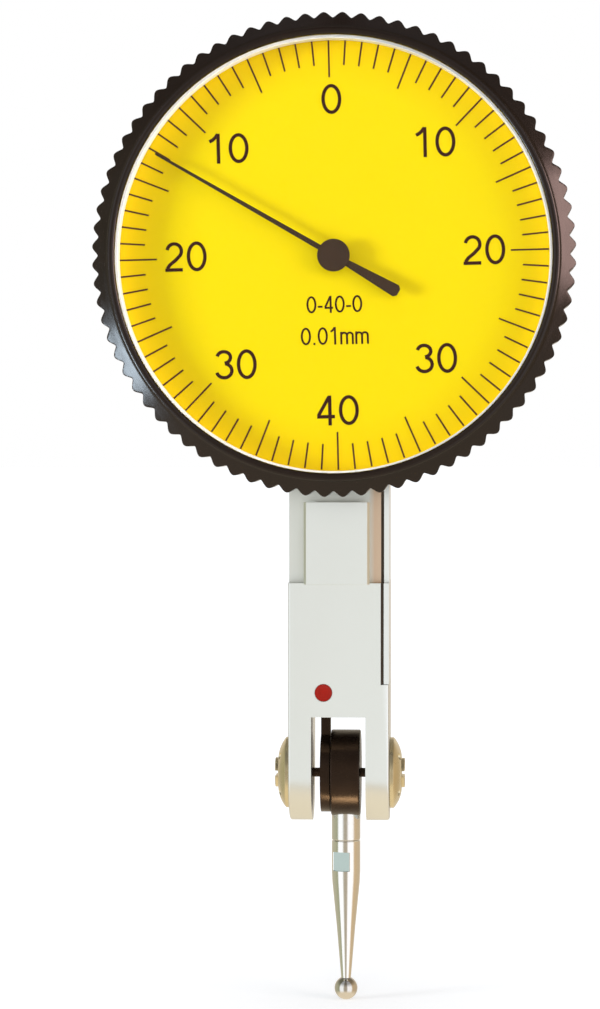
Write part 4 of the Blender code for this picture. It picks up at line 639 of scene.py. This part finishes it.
dress(bright_steel, "plate_screw_1", "plate_screw_2", "plate_screw_3", "cock_screw")
dress(bright_steel, "crown_arbor", "sector_arbor")
dress(bright_steel, "centre_pinion", "hairspring", "bezel_snap_ring")
dress(bright_steel, "case_screw_1", "case_screw_2", "case_screw_3", "clutch_washer")
dress(ruby, "crown_jewel_left", "crown_jewel_right", "sector_jewel_left", "sector_jewel_right")
dress(ruby, "centre_jewel_front", "centre_jewel_rear", "drive_pin")


# The dial case: a shallow turned cup, chromed like the body and held to its boss by three screws from
# inside, with a groove round its wall for the ring that keeps the bezel on.
CASE_RADIUS = 18.7
CASE_WALL = 1.1
CASE_FLOOR = 1.0
CASE_CHAMFER = 0.5
CASE_EDGE = 0.06
ARBOR_HOLE = 0.5
SNAP_BEHIND = 2.7
SNAP_HALF = 0.28
SNAP_BITE = 0.17

low, high = box_mm("dial_case")
case_back = high[1]
case_rim = low[1]
case_inside = case_back - CASE_FLOOR
snap = case_back - SNAP_BEHIND
case_profile = [
    (ARBOR_HOLE, case_inside),
    (ARBOR_HOLE, case_back),
    (CASE_RADIUS - CASE_CHAMFER, case_back),
    (CASE_RADIUS, case_back - CASE_CHAMFER),
    (CASE_RADIUS, snap + SNAP_HALF),
    (CASE_RADIUS - SNAP_BITE, snap + SNAP_HALF),
    (CASE_RADIUS - SNAP_BITE, snap - SNAP_HALF),
    (CASE_RADIUS, snap - SNAP_HALF),
    (CASE_RADIUS, case_rim),
    (CASE_RADIUS - CASE_WALL, case_rim),
    (CASE_RADIUS - CASE_WALL, case_inside),
]
case_mesh = turned("dial_case_cup", "Y", DIAL_CENTRE, eased(case_profile, CASE_EDGE), 256, closed=True)
show("dial_case_cup", case_mesh, satin_chrome, "frame", ["dial_case"])


# The bezel: aluminium, turned with a raised round lip over the glass and a sloping shoulder, knurled
# with 80 straight teeth and anodised black. The anodising is thinner on the crests of the teeth.
BEZEL_TIP = 20.0
BEZEL_VALLEY = 19.5
BEZEL_TEETH = 80
BEZEL_PHASE_DEG = 2.325
POINTS_PER_TOOTH = 16
CREST_POWER = 1.5
LIP_INNER = 18.0
LIP_OUTER = 18.69
LIP_HEIGHT = 0.45
LIP_FOOT = 0.12
LIP_FULLNESS = 0.7
SEAT = 18.43
BORE = 18.85
SHOULDER_DROP = 1.35
SNAP_ROOM = 19.15
SEAT_GAP = 0.06
CREST_RUBBED = (19.9, 20.02)

low, high = box_mm("bezel")
front = low[1]
back = high[1]
lip_back = front + LIP_HEIGHT
shoulder = front + SHOULDER_DROP
lip_turn = np.linspace(0, np.pi, 13)
lip_across = (LIP_INNER + LIP_OUTER) / 2 - (LIP_OUTER - LIP_INNER) / 2 * np.cos(lip_turn)
lip_rise = lip_back - LIP_FOOT - (LIP_HEIGHT - LIP_FOOT) * np.sin(lip_turn) ** LIP_FULLNESS
slope = np.linspace(0, 1, 15)[1:]
slope_across = LIP_OUTER + (BEZEL_TIP - LIP_OUTER) * slope
slope_along = lip_back + (shoulder - lip_back) * slope
outer_rows = [
    (LIP_INNER, lip_back),
    *zip(lip_across, lip_rise),
    (LIP_OUTER + 0.02, lip_back - 0.01),
    *zip(slope_across, slope_along),
    (BEZEL_TIP, shoulder + 0.06),
    (BEZEL_TIP, (shoulder + back) / 2),
    (BEZEL_TIP, back - 0.22),
    (BEZEL_TIP - 0.1, back - 0.12),
    (BEZEL_TIP - 0.3, back),
]
inner_rows = [
    (BORE, back),
    (BORE, snap + SNAP_HALF),
    (SNAP_ROOM, snap + SNAP_HALF),
    (SNAP_ROOM, snap - SNAP_HALF),
    (BORE, snap - SNAP_HALF),
    (BORE, case_rim - SEAT_GAP),
    (SEAT, case_rim - SEAT_GAP),
    (SEAT, lip_back),
]
columns = BEZEL_TEETH * POINTS_PER_TOOTH
turn = math.radians(BEZEL_PHASE_DEG) + 2 * np.pi * np.arange(columns) / columns
crest = np.abs(np.cos(BEZEL_TEETH * (turn - math.radians(BEZEL_PHASE_DEG)) / 2)) ** CREST_POWER
knurl = BEZEL_VALLEY + (BEZEL_TIP - BEZEL_VALLEY) * crest
rows = np.array(outer_rows + inner_rows)
# The knurled ring is what the turned profile and the toothed bar have in common: the smaller radius.
reach = np.minimum(rows[:, :1], knurl[None, :])
bezel_points = round_points("Y", DIAL_CENTRE, reach, rows[:, 1:], turn[None, :])
bezel_mesh = mesh_of("knurled_bezel", bezel_points, faces_of_grid(len(rows), columns, True))
black_anodised = Finish("black_anodised", (34, 27, 23), 0.2, Specular_IOR_Level=0.32)
black_dye = black_anodised.mixed(black_anodised.grain((400, 400, 400)), (30, 20, 16), (22, 15, 12))
outermost = black_anodised.between(black_anodised.from_axis(), 0, 1, *CREST_RUBBED)
rubbed = math_node(black_anodised.tree, "MULTIPLY", outermost, black_anodised.grain((900, 900, 900)))
black_anodised.feed("Base Color", black_anodised.mixed(rubbed, black_dye, (92, 82, 76)))
black_anodised.varied("Roughness", (700, 3000, 700), 0.17, 0.26)
black_anodised.bump(black_anodised.grain((6000, 6000, 6000), 2), 0.0015)
bezel = show("knurled_bezel", bezel_mesh, black_anodised, "bezel_group", ["bezel"])
shine_on(left_card, bezel)
shine_on(right_card, bezel)


# The dial: a printed aluminium disc in satin yellow enamel, with 80 strokes, longer at each fifth, and
# numbers from 0 to 40 both ways. It turns with the bezel and was clamped 1.35 degrees anticlockwise.
DIAL_TURN_DEG = 1.35
STROKES = 80
STROKE_OUTER = 17.86
SHORT_STROKE = 2.14
LONG_STROKE = 3.16
STROKE_WIDTH = 0.15
# The enamel is painted deeper orange outwards between these radii, a painted shade, and the print sits a
# little off the dial's middle.
DIAL_PAINTED_SHADE = (13.8, 17.2)
PRINT_SHIFT = (-0.05, 0.1)
INK_PROUD = 0.008
INK_SUNK = 0.004
INK_LAYER = 0.0006
INK_SHARE = 0.116
LEGEND_SQUEEZE = 0.84
NUMBER_HEIGHT = 2.49
NUMBERS = [
    ("0", -0.17, 12.9),
    ("10", 8.41, 9.31),
    ("10", -8.75, 8.85),
    ("20", 12.43, 0.38),
    ("20", -12.36, -0.12),
    ("30", 8.53, -8.59),
    ("30", -8.12, -9.09),
    ("40", 0.31, -12.91),
]
LEGENDS = [("0-40-0", 0.08, -4.10, 1.42), ("0.01mm", 0.12, -6.72, 1.46)]

low, high = box_mm("dial_face")
dial_front = low[1]
dial_radius = (high[0] - low[0]) / 2
dial_profile = [(radius, dial_front) for radius in (ARBOR_HOLE, dial_radius)]
dial_profile += [(radius, high[1]) for radius in (dial_radius, ARBOR_HOLE)]
dial_mesh = turned("dial_disc", "Y", DIAL_CENTRE, dial_profile, 256, closed=True)
dial_yellow = Finish("dial_yellow", (255, 226, 0), 0.42, Specular_IOR_Level=0.12)
# Painted shade: the yellow turns more orange towards the rim, where the bezel's lip casts its shadow.
painted_edge_shade = dial_yellow.between(dial_yellow.from_axis(), 0, 1, *DIAL_PAINTED_SHADE)
dial_yellow.feed("Base Color", dial_yellow.mixed(painted_edge_shade, (248, 223, 0), (250, 213, 0)))
dial_yellow.varied("Roughness", (250, 250, 250), 0.36, 0.48, 4)
dial_yellow.bump(dial_yellow.grain((3000, 3000, 3000), 2), 0.0006)
show("dial_disc", dial_mesh, dial_yellow, "bezel_group", ["dial_face"])


def ink_bar(line, width, layer=0):
    """The points and faces of a flat bar of ink along the middle line given on the dial, across and up
    from its centre. Each bar of a letter lies a hair above the last."""
    line = np.array(line, float) + PRINT_SHIFT
    step = np.diff(line, axis=0)
    aside = np.stack([-step[:, 1], step[:, 0]], axis=-1) / np.linalg.norm(step, axis=1)[:, None]
    before = np.vstack([aside[:1], aside])
    after = np.vstack([aside, aside[-1:]])
    ring = np.allclose(line[0], line[-1])
    if ring:
        before[0] = aside[-1]
        after[-1] = aside[0]
    # At a bend the two sides meet on the mean of both directions, further out the sharper it is.
    bend = (before + after) / (1 + np.sum(before * after, axis=1))[:, None]
    left = line + bend * width / 2
    right = line - bend * width / 2
    top = dial_front - INK_PROUD - INK_LAYER * layer
    corners = [(left, top), (right, top), (right, dial_front + INK_SUNK), (left, dial_front + INK_SUNK)]
    edges = [placed("Y", DIAL_CENTRE, depth, edge[:, 0], edge[:, 1]) for edge, depth in corners]
    points = np.stack(edges, axis=1)
    faces = faces_of_grid(len(line), 4, False)
    last = 4 * (len(line) - 1)
    caps = np.array([(3, 2, 1, 0), (last, last + 1, last + 2, last + 3)])
    return points.reshape(-1, 3), faces if ring else np.concatenate([faces, caps])


def ink_mesh(name, bars):
    """One mesh of many bars of ink."""
    starts = np.cumsum([0, *(len(points) for points, faces in bars)])
    faces = [faces + start for (points, faces), start in zip(bars, starts)]
    return mesh_of(name, np.concatenate([points for points, faces in bars]), np.concatenate(faces))


dial_ink = Finish("dial_ink", (58, 24, 20), 0.45, Specular_IOR_Level=0.2)
dial_ink.toned((1200, 1200, 1200), (62, 27, 22), (48, 19, 16))
stroke_ink = Finish("stroke_ink", (92, 54, 34), 0.45, Specular_IOR_Level=0.2)
stroke_ink.toned((1200, 1200, 1200), (98, 58, 36), (80, 46, 28))
stroke_bars = []
for stroke in range(STROKES):
    way = math.radians(90 + DIAL_TURN_DEG - 360 * stroke / STROKES)
    inner = STROKE_OUTER - (SHORT_STROKE if stroke % 5 else LONG_STROKE)
    ends = [(reach * math.cos(way), reach * math.sin(way)) for reach in (inner, STROKE_OUTER)]
    stroke_bars.append(ink_bar(ends, STROKE_WIDTH))
show("dial_strokes", ink_mesh("dial_strokes", stroke_bars), stroke_ink, "bezel_group", [])


def arc(across, up, wide, tall, start, end, count=17):
    """Points on an ellipse between two turns in degrees, anticlockwise from its right end."""
    turn = np.radians(np.linspace(start, end, count))
    return list(zip(across + wide * np.cos(turn), up + tall * np.sin(turn)))


# How far each letter moves the pen on, and its middle lines, as shares of the height of a number.
LETTERS = {
    "0": (0.755, [arc(0.378, 0.5, 0.276, 0.442, 90, 450, 41)]),
    "1": (0.755, [[(0.16, 0.735), (0.27, 0.79), (0.37, 0.88), (0.44, 0.985)], [(0.455, 0), (0.455, 1)]]),
    "2": (
        0.755,
        [
            [*arc(0.385, 0.69, 0.24, 0.246, 170, -36), (0.43, 0.39), (0.23, 0.235), (0.14, 0.11)],
            [(0.07, 0.064), (0.66, 0.064)],
        ],
    ),
    "3": (0.755, [arc(0.37, 0.742, 0.225, 0.194, 168, -84), arc(0.375, 0.3, 0.257, 0.236, 82, -166)]),
    "4": (
        0.755,
        [[(0.475, 0.955), (0.115, 0.335)], [(0.07, 0.295), (0.665, 0.295)], [(0.5, 0), (0.5, 1)]],
    ),
    ".": (0.388, [[(0.19, 0), (0.19, 0.13)]]),
    "-": (0.465, [[(0.06, 0.37), (0.4, 0.37)]]),
    "m": (
        1.02,
        [
            [(0.12, 0), (0.12, 0.72)],
            [*arc(0.315, 0.5, 0.195, 0.16, 180, 0), (0.51, 0)],
            [*arc(0.705, 0.5, 0.195, 0.16, 180, 0), (0.9, 0)],
        ],
    ),
}


def lettering(text, across, up, height, squeeze=1):
    """Bars of ink for a word on the dial: its middle is at (across, up) from the dial's centre, its numbers
    are as tall as given, and it is turned with the dial. The squeeze narrows the letters."""
    lines = []
    pen = 0
    for letter in text:
        advance, shapes = LETTERS[letter]
        lines += [(np.array(line) + (pen, 0), layer) for layer, line in enumerate(shapes)]
        pen += advance
    places = np.concatenate([line[:, 0] for line, layer in lines])
    middle = ((places.min() + places.max()) / 2, 0.5)
    tilt = math.radians(DIAL_TURN_DEG)
    turning = np.array([(math.cos(tilt), math.sin(tilt)), (-math.sin(tilt), math.cos(tilt))])
    scale = (squeeze * height, height)
    pen_lines = [((line - middle) * scale @ turning + (across, up), layer) for line, layer in lines]
    return [ink_bar(line, INK_SHARE * height, layer) for line, layer in pen_lines]


number_bars = []
for text, across, up in NUMBERS:
    number_bars += lettering(text, across, up, NUMBER_HEIGHT)
for text, across, up, height in LEGENDS:
    number_bars += lettering(text, across, up, height, LEGEND_SQUEEZE)
show("dial_numbers", ink_mesh("dial_numbers", number_bars), dial_ink, "bezel_group", [])


# The pale ring between dial and glass: a turned white ring that keeps them apart, and behind the dial the
# thin dark ring that holds dial, pale ring and glass in the bezel.
RING_INNER = 17.85
RING_EDGE = 0.08

low, high = box_mm("dial_ring")
ring_outer = (high[0] - low[0]) / 2
ring_corners = [(ring_outer, low[1]), (RING_INNER, low[1]), (RING_INNER, high[1]), (ring_outer, high[1])]
ring_mesh = turned("pale_dial_ring", "Y", DIAL_CENTRE, eased(ring_corners, RING_EDGE), 256, closed=True)
pale_ring = Finish("pale_ring", (252, 250, 244), 0.4)
pale_ring.toned((300, 300, 300), (252, 254, 255), (247, 248, 246))
pale_ring.varied("Roughness", (500, 500, 500), 0.34, 0.46)
white_ring = show("pale_dial_ring", ring_mesh, pale_ring, "bezel_group", ["dial_ring"])
shine_on(ring_fill, white_ring)
dark_steel = Finish("dark_steel", (44, 34, 28), 0.24, 0.85)
dark_steel.toned((500, 500, 500), (66, 52, 43), (49, 38, 31))
dark_steel.varied("Roughness", (300, 900, 900), 0.2, 0.34, 4)
dark_steel.bump(dark_steel.grain((700, 7000, 7000), 3), 0.001, eased=0.05)
dress(dark_steel, "dial_retaining_ring")


# The pointer: a flat needle stamped from thin sheet, blackened, with bevelled edges, a widening tail with
# cut corners and an eye that fits over the hub's neck. The flat hub is pressed on the centre pinion.
POINTER_REST_DEG = 60.2
NEEDLE_EDGE = 0.04
EYE_RADIUS = 1.1
EYE_FROM_DEG = 72

low, high = box_mm("pointer")
needle_front = low[1]
needle_back = high[1]
eye_turn = np.radians(np.linspace(EYE_FROM_DEG, -EYE_FROM_DEG, 13))
# Stations along the needle: how far each is from the hub's middle, and half the width there.
needle_stations = np.concatenate(
    [
        [(17.05, 0.02), (17.0, 0.105), (1.3, 0.222)],
        np.stack([EYE_RADIUS * np.sin(eye_turn), EYE_RADIUS * np.cos(eye_turn)], axis=-1),
        [(-1.3, 0.28), (-5.95, 0.53), (-6.2, 0.29)],
    ]
)
reach = needle_stations[:, :1]
half = needle_stations[:, 1:]
bevel = np.minimum(NEEDLE_EDGE, half / 2)
needle_across = np.concatenate([-half, -half, -half + bevel, half - bevel, half, half], axis=1)
front_bevel = np.full_like(half, needle_front) + bevel
needle_depth = np.concatenate(
    [
        np.full_like(half, needle_back),
        front_bevel,
        np.full_like(half, needle_front),
        np.full_like(half, needle_front),
        front_bevel,
        np.full_like(half, needle_back),
    ],
    axis=1,
)
lean = math.radians(POINTER_REST_DEG)
needle_x = needle_across * math.cos(lean) - reach * math.sin(lean)
needle_z = needle_across * math.sin(lean) + reach * math.cos(lean) + DIAL_CENTRE[2]
needle_points = np.stack([needle_x, needle_depth, needle_z], axis=-1)
needle_grid = faces_of_grid(len(needle_stations), 6, False)
last = 6 * (len(needle_stations) - 1)
tip_cap = np.array([(0, 1, 2, 3), (0, 3, 4, 5)])
needle_faces = np.concatenate([needle_grid, tip_cap, tip_cap[:, ::-1] + last])
needle_mesh = mesh_of("pointer_needle", needle_points, needle_faces)
pointer_black = Finish("pointer_black", (70, 52, 38), 0.42, Specular_IOR_Level=0.3)
pointer_black.toned((900, 900, 900), (68, 50, 37), (52, 38, 28))
pointer_black.varied("Roughness", (1500, 1500, 1500), 0.36, 0.5)
show("pointer_needle", needle_mesh, pointer_black, "pointer_group", ["pointer"])

HUB_NECK = 0.6
HUB_DISC = 0.17
HUB_EDGE = 0.05
low, high = box_mm("pointer_hub")
hub_radius = (high[2] - low[2]) / 2
hub_profile = [
    (0, low[1]),
    (hub_radius, low[1]),
    (hub_radius, low[1] + HUB_DISC),
    (HUB_NECK, low[1] + HUB_DISC),
    (HUB_NECK, high[1]),
    (0, high[1]),
]
hub_mesh = turned("pointer_hub_cap", "Y", DIAL_CENTRE, eased(hub_profile, HUB_EDGE), 96)
show("pointer_hub_cap", hub_mesh, pointer_black, "pointer_group", ["pointer_hub"])


# The glass: a clear flat disc with polished chamfers, held between the bezel's lip and the pale ring.
GLASS_CHAMFER = 0.12

low, high = box_mm("crystal")
glass_radius = (high[0] - low[0]) / 2
glass_profile = [
    (0, low[1]),
    (glass_radius - GLASS_CHAMFER, low[1]),
    (glass_radius, low[1] + GLASS_CHAMFER),
    (glass_radius, high[1] - GLASS_CHAMFER),
    (glass_radius - GLASS_CHAMFER, high[1]),
    (0, high[1]),
]
glass_mesh = turned("dial_glass", "Y", DIAL_CENTRE, glass_profile, 256)
clear_glass = Finish("clear_glass", (30, 32, 32), 0.04, Alpha=0.06)
clear_glass.varied("Roughness", (120, 120, 120), 0.02, 0.07, 4)
show("dial_glass", glass_mesh, clear_glass, "bezel_group", ["crystal"])


# The lever and its drum: a blackened steel plate that reaches up into the body, and beside it the drum
# that grips it by a dished washer. The bright neck below the drum takes the stylus.
dress(dark_steel, "lever_arbor")
plate_mesh = joined_copy("lever_plate", "drive_lever")
plate = show("lever_plate", plate_mesh, dark_steel, "lever_group", ["drive_lever"])
PIVOT_Y = 4.45
PIVOT_Z = -20
DRUM_RADIUS = 3.7
DRUM_BORE = 0.46
WASHER_ROOM = 2.06
WASHER_ROOM_DEPTH = 0.36
NECK_RADIUS = 1.25
NECK_TOP = -22.6
JOINT_Z = -25.8
DRUM_EDGE = 0.14
NECK_EDGE = 0.1

low, high = box_mm("stylus_hub")
drum_left = low[0]
drum_right = high[0]
stylus_x = (drum_left + drum_right) / 2
drum_profile = [
    (DRUM_BORE, drum_left + WASHER_ROOM_DEPTH),
    (WASHER_ROOM, drum_left + WASHER_ROOM_DEPTH),
    (WASHER_ROOM, drum_left),
    (DRUM_RADIUS, drum_left),
    (DRUM_RADIUS, drum_right),
    (DRUM_BORE, drum_right),
]
pivot = (0, PIVOT_Y, PIVOT_Z)
drum_mesh = turned("stylus_drum", "X", pivot, eased(drum_profile, DRUM_EDGE), 192, closed=True)
drum = show("stylus_drum", drum_mesh, dark_steel, "stylus_group", ["stylus_hub"])
shine_on(low_card, plate, drum)
neck_profile = [(0, NECK_TOP), (NECK_RADIUS, NECK_TOP), (NECK_RADIUS, JOINT_Z), (0, JOINT_Z)]
neck_mesh = turned("stylus_neck", "Z", (stylus_x, PIVOT_Y, 0), eased(neck_profile, NECK_EDGE), 96)
show("stylus_neck", neck_mesh, bright_steel, "stylus_group", ["stylus_hub"])


# The pivots: a slotted screw through each arm of the fork, and round it a domed ring nut with four holes
# for a pin spanner. Both are lacquered brass, a pale gold with a slightly uneven tone.
SCREW_RADIUS = 1.28
SCREW_SLOT_WIDE = 0.48
SCREW_SLOT_DEEP = 0.43
RING_RADIUS = 3.05
RING_BORE = 1.31
RING_RIM = 0.3
HOLE_CIRCLE = 2.18
HOLE_RADIUS = 0.25
HOLE_DEEP = 0.4
HOLE_SLOPE = 0.05
DOME_FULLNESS = 0.8
PIVOT_HEAD_HEIGHT = 0.6

pale_gold = Finish("pale_gold", (196, 176, 130), 0.26, 1)
gold_tone = pale_gold.mixed(pale_gold.grain((420, 420, 420), 3), (244, 233, 202), (216, 205, 170))
pale_gold.feed("Base Color", gold_tone)
pale_gold.varied("Roughness", (400, 1200, 1200), 0.24, 0.34)
pale_gold.bump(pale_gold.grain((5000, 5000, 5000)), 0.0006, eased=0.04)
for side, sign in (("left", -1), ("right", 1)):
    node = f"pivot_screw_{side}"
    low, high = box_mm(node)
    outer, inner = (low[0], high[0]) if sign < 0 else (high[0], low[0])
    stem = [(SCREW_RADIUS, outer - sign * PIVOT_HEAD_HEIGHT), (SCREW_RADIUS, inner), (0, inner)]
    name = f"pivot_head_{side}"
    slot = (SCREW_SLOT_WIDE, SCREW_SLOT_DEEP)
    screw = slotted_screw(name, "X", pivot, outer, sign, SCREW_RADIUS, *slot, stem)
    show(name, screw, pale_gold, "frame", [node])

    node = f"lock_ring_{side}"
    low, high = box_mm(node)
    top, base = (low[0], high[0]) if sign < 0 else (high[0], low[0])
    ring_height = abs(top - base)
    share = np.linspace(0, 1, 34)
    dome_radius = RING_RADIUS + (RING_BORE - RING_RADIUS) * share
    dome_rise = RING_RIM + (ring_height - RING_RIM) * np.sin(share * np.pi / 2) ** DOME_FULLNESS
    radius = np.concatenate([[RING_BORE, RING_RADIUS, RING_RADIUS], dome_radius])[:, None]
    rise = np.concatenate([[0, 0, RING_RIM * 0.8], dome_rise])[:, None]
    turn = np.linspace(0, 2 * np.pi, 240, endpoint=False)[None, :]
    # Four holes: the nearest hole's centre lies on the quarter turn's diagonal, and the rise drops
    # by the hole's depth within its radius, with a short slope at its rim.
    from_diagonal = (turn % (np.pi / 2)) - np.pi / 4
    to_hole = np.hypot(radius * np.cos(from_diagonal) - HOLE_CIRCLE, radius * np.sin(from_diagonal))
    drilled = np.clip((HOLE_RADIUS + HOLE_SLOPE - to_hole) / HOLE_SLOPE, 0, 1)
    sunk_rise = np.minimum(rise, ring_height - HOLE_DEEP * drilled)
    ring_rise = np.where(rise > RING_RIM, sunk_rise, rise + 0 * drilled)
    ring_points = round_points("X", pivot, radius, base + sign * ring_rise, turn)
    ring = mesh_of(f"ring_nut_{side}", ring_points, faces_of_grid(len(radius), 240, True))
    show(f"ring_nut_{side}", ring, pale_gold, "frame", [node])


# The stylus: hard steel, polished, parallel under the neck with two flats for a wrench, then slimming to
# the ball, a ground carbide sphere brazed to its end.
FLAT_DISTANCE = 0.97
FLAT_TOP = -26.85
FLAT_BOTTOM = -28.43
FLAT_TURN_DEG = -23
FLAT_EDGE = 0.04
FLAT_ROW_INSET = 0.1
FLAT_LEAN = (0.9985, 0.9995)
SHANK_TOP = [(-25.83, 1.17), (-25.91, 1.25), (-28.6, 1.25), (-28.8, 1.235)]
SHANK = [*SHANK_TOP, (-29.5, 1.2), (-33.35, 0.81), (-37.82, 0.42)]
BALL_RADIUS = 1.0
BALL_Z = -38.7
BALL_NECK = 0.4

shank_levels = np.array([level for level, radius in SHANK])
shank_radii = np.array([radius for level, radius in SHANK])
between_rows = np.linspace(SHANK_TOP[-1][0], SHANK[-1][0], 40)
flat_rows = np.linspace(FLAT_TOP - FLAT_ROW_INSET, FLAT_BOTTOM + FLAT_ROW_INSET, 8)
flat_edges = [FLAT_TOP + FLAT_EDGE, FLAT_TOP, FLAT_BOTTOM, FLAT_BOTTOM - FLAT_EDGE]
level = np.sort(np.concatenate([shank_levels, between_rows, flat_rows, flat_edges]))[::-1]
level = level[np.concatenate([[True], np.diff(level) < 0])][:, None]
radius = np.interp(-level, -shank_levels, shank_radii)
turn = np.linspace(0, 2 * np.pi, 144, endpoint=False)[None, :]
# A flat is as far from the axis as its distance over the cosine of the turn away from its middle.
facing = np.abs(np.cos(turn - math.radians(90 + FLAT_TURN_DEG)))
flat = FLAT_DISTANCE / np.maximum(facing, 0.01)
inside = (level <= FLAT_TOP) & (level >= FLAT_BOTTOM)
shank_radius = np.where(inside, np.minimum(radius, flat), radius + 0 * flat)
first = round_points("Z", (stylus_x, PIVOT_Y, 0), 0 * turn, level[:1], turn)
shank_points = round_points("Z", (stylus_x, PIVOT_Y, 0), shank_radius, level, turn)
last = round_points("Z", (stylus_x, PIVOT_Y, 0), 0 * turn, level[-1:], turn)
shank_grid = np.concatenate([first, shank_points, last])
shank_mesh = mesh_of("stylus_shank", shank_grid, faces_of_grid(len(shank_grid), 144, False))
stylus_steel = Finish("stylus_steel", (246, 246, 244), 0.14, 1)
stylus_tone = stylus_steel.mixed(stylus_steel.grain((300, 300, 900), 4), (251, 250, 247), (244, 243, 241))
stylus_steel.bump(stylus_steel.grain((600, 600, 9000), 3), 0.0006)
stylus_height = stylus_steel.place()["Z"]
below_top = math_node(stylus_steel.tree, "LESS_THAN", stylus_height, FLAT_TOP)
above_bottom = math_node(stylus_steel.tree, "GREATER_THAN", stylus_height, FLAT_BOTTOM)
from_stem = stylus_steel.tree.nodes.new("ShaderNodeVectorMath")
from_stem.operation = "DOT_PRODUCT"
stem_normal = stylus_steel.tree.nodes.new("ShaderNodeNewGeometry")
stylus_steel.tree.links.new(stem_normal.outputs["True Normal"], from_stem.inputs[0])
flat_turn = math.radians(FLAT_TURN_DEG)
from_stem.inputs[1].default_value = (math.sin(flat_turn), -math.cos(flat_turn), 0)
facing_flat = math_node(stylus_steel.tree, "ABSOLUTE", from_stem.outputs["Value"])
on_flat = stylus_steel.between(facing_flat, 0, 1, *FLAT_LEAN)
flat_band = math_node(stylus_steel.tree, "MULTIPLY", below_top, above_bottom)
milled = math_node(stylus_steel.tree, "MULTIPLY", on_flat, flat_band)
stylus_steel.feed("Base Color", stylus_steel.mixed(milled, stylus_tone, (176, 190, 185)))
stylus_steel.varied("Roughness", (500, 500, 2500), 0.09, 0.17, 4)
show("stylus_shank", shank_mesh, stylus_steel, "stylus_group", ["stylus"])

ball_turn = np.linspace(math.asin(BALL_NECK / BALL_RADIUS), math.pi, 48)
ball_profile = [(0, BALL_RADIUS * math.cos(ball_turn[0]))]
ball_profile += list(zip(BALL_RADIUS * np.sin(ball_turn), BALL_RADIUS * np.cos(ball_turn)))
ball_mesh = turned("contact_ball", "Z", (stylus_x, PIVOT_Y, BALL_Z), ball_profile, 96)
carbide = Finish("carbide", (228, 226, 223), 0.1, 1)
carbide.toned((1500, 1500, 1500), (232, 230, 227), (222, 220, 217))
carbide.bump(carbide.grain((5000, 5000, 5000)), 0.0004)
carbide.varied("Roughness", (2500, 2500, 2500), 0.06, 0.16)
show("contact_ball", ball_mesh, carbide, "stylus_group", ["ball"])
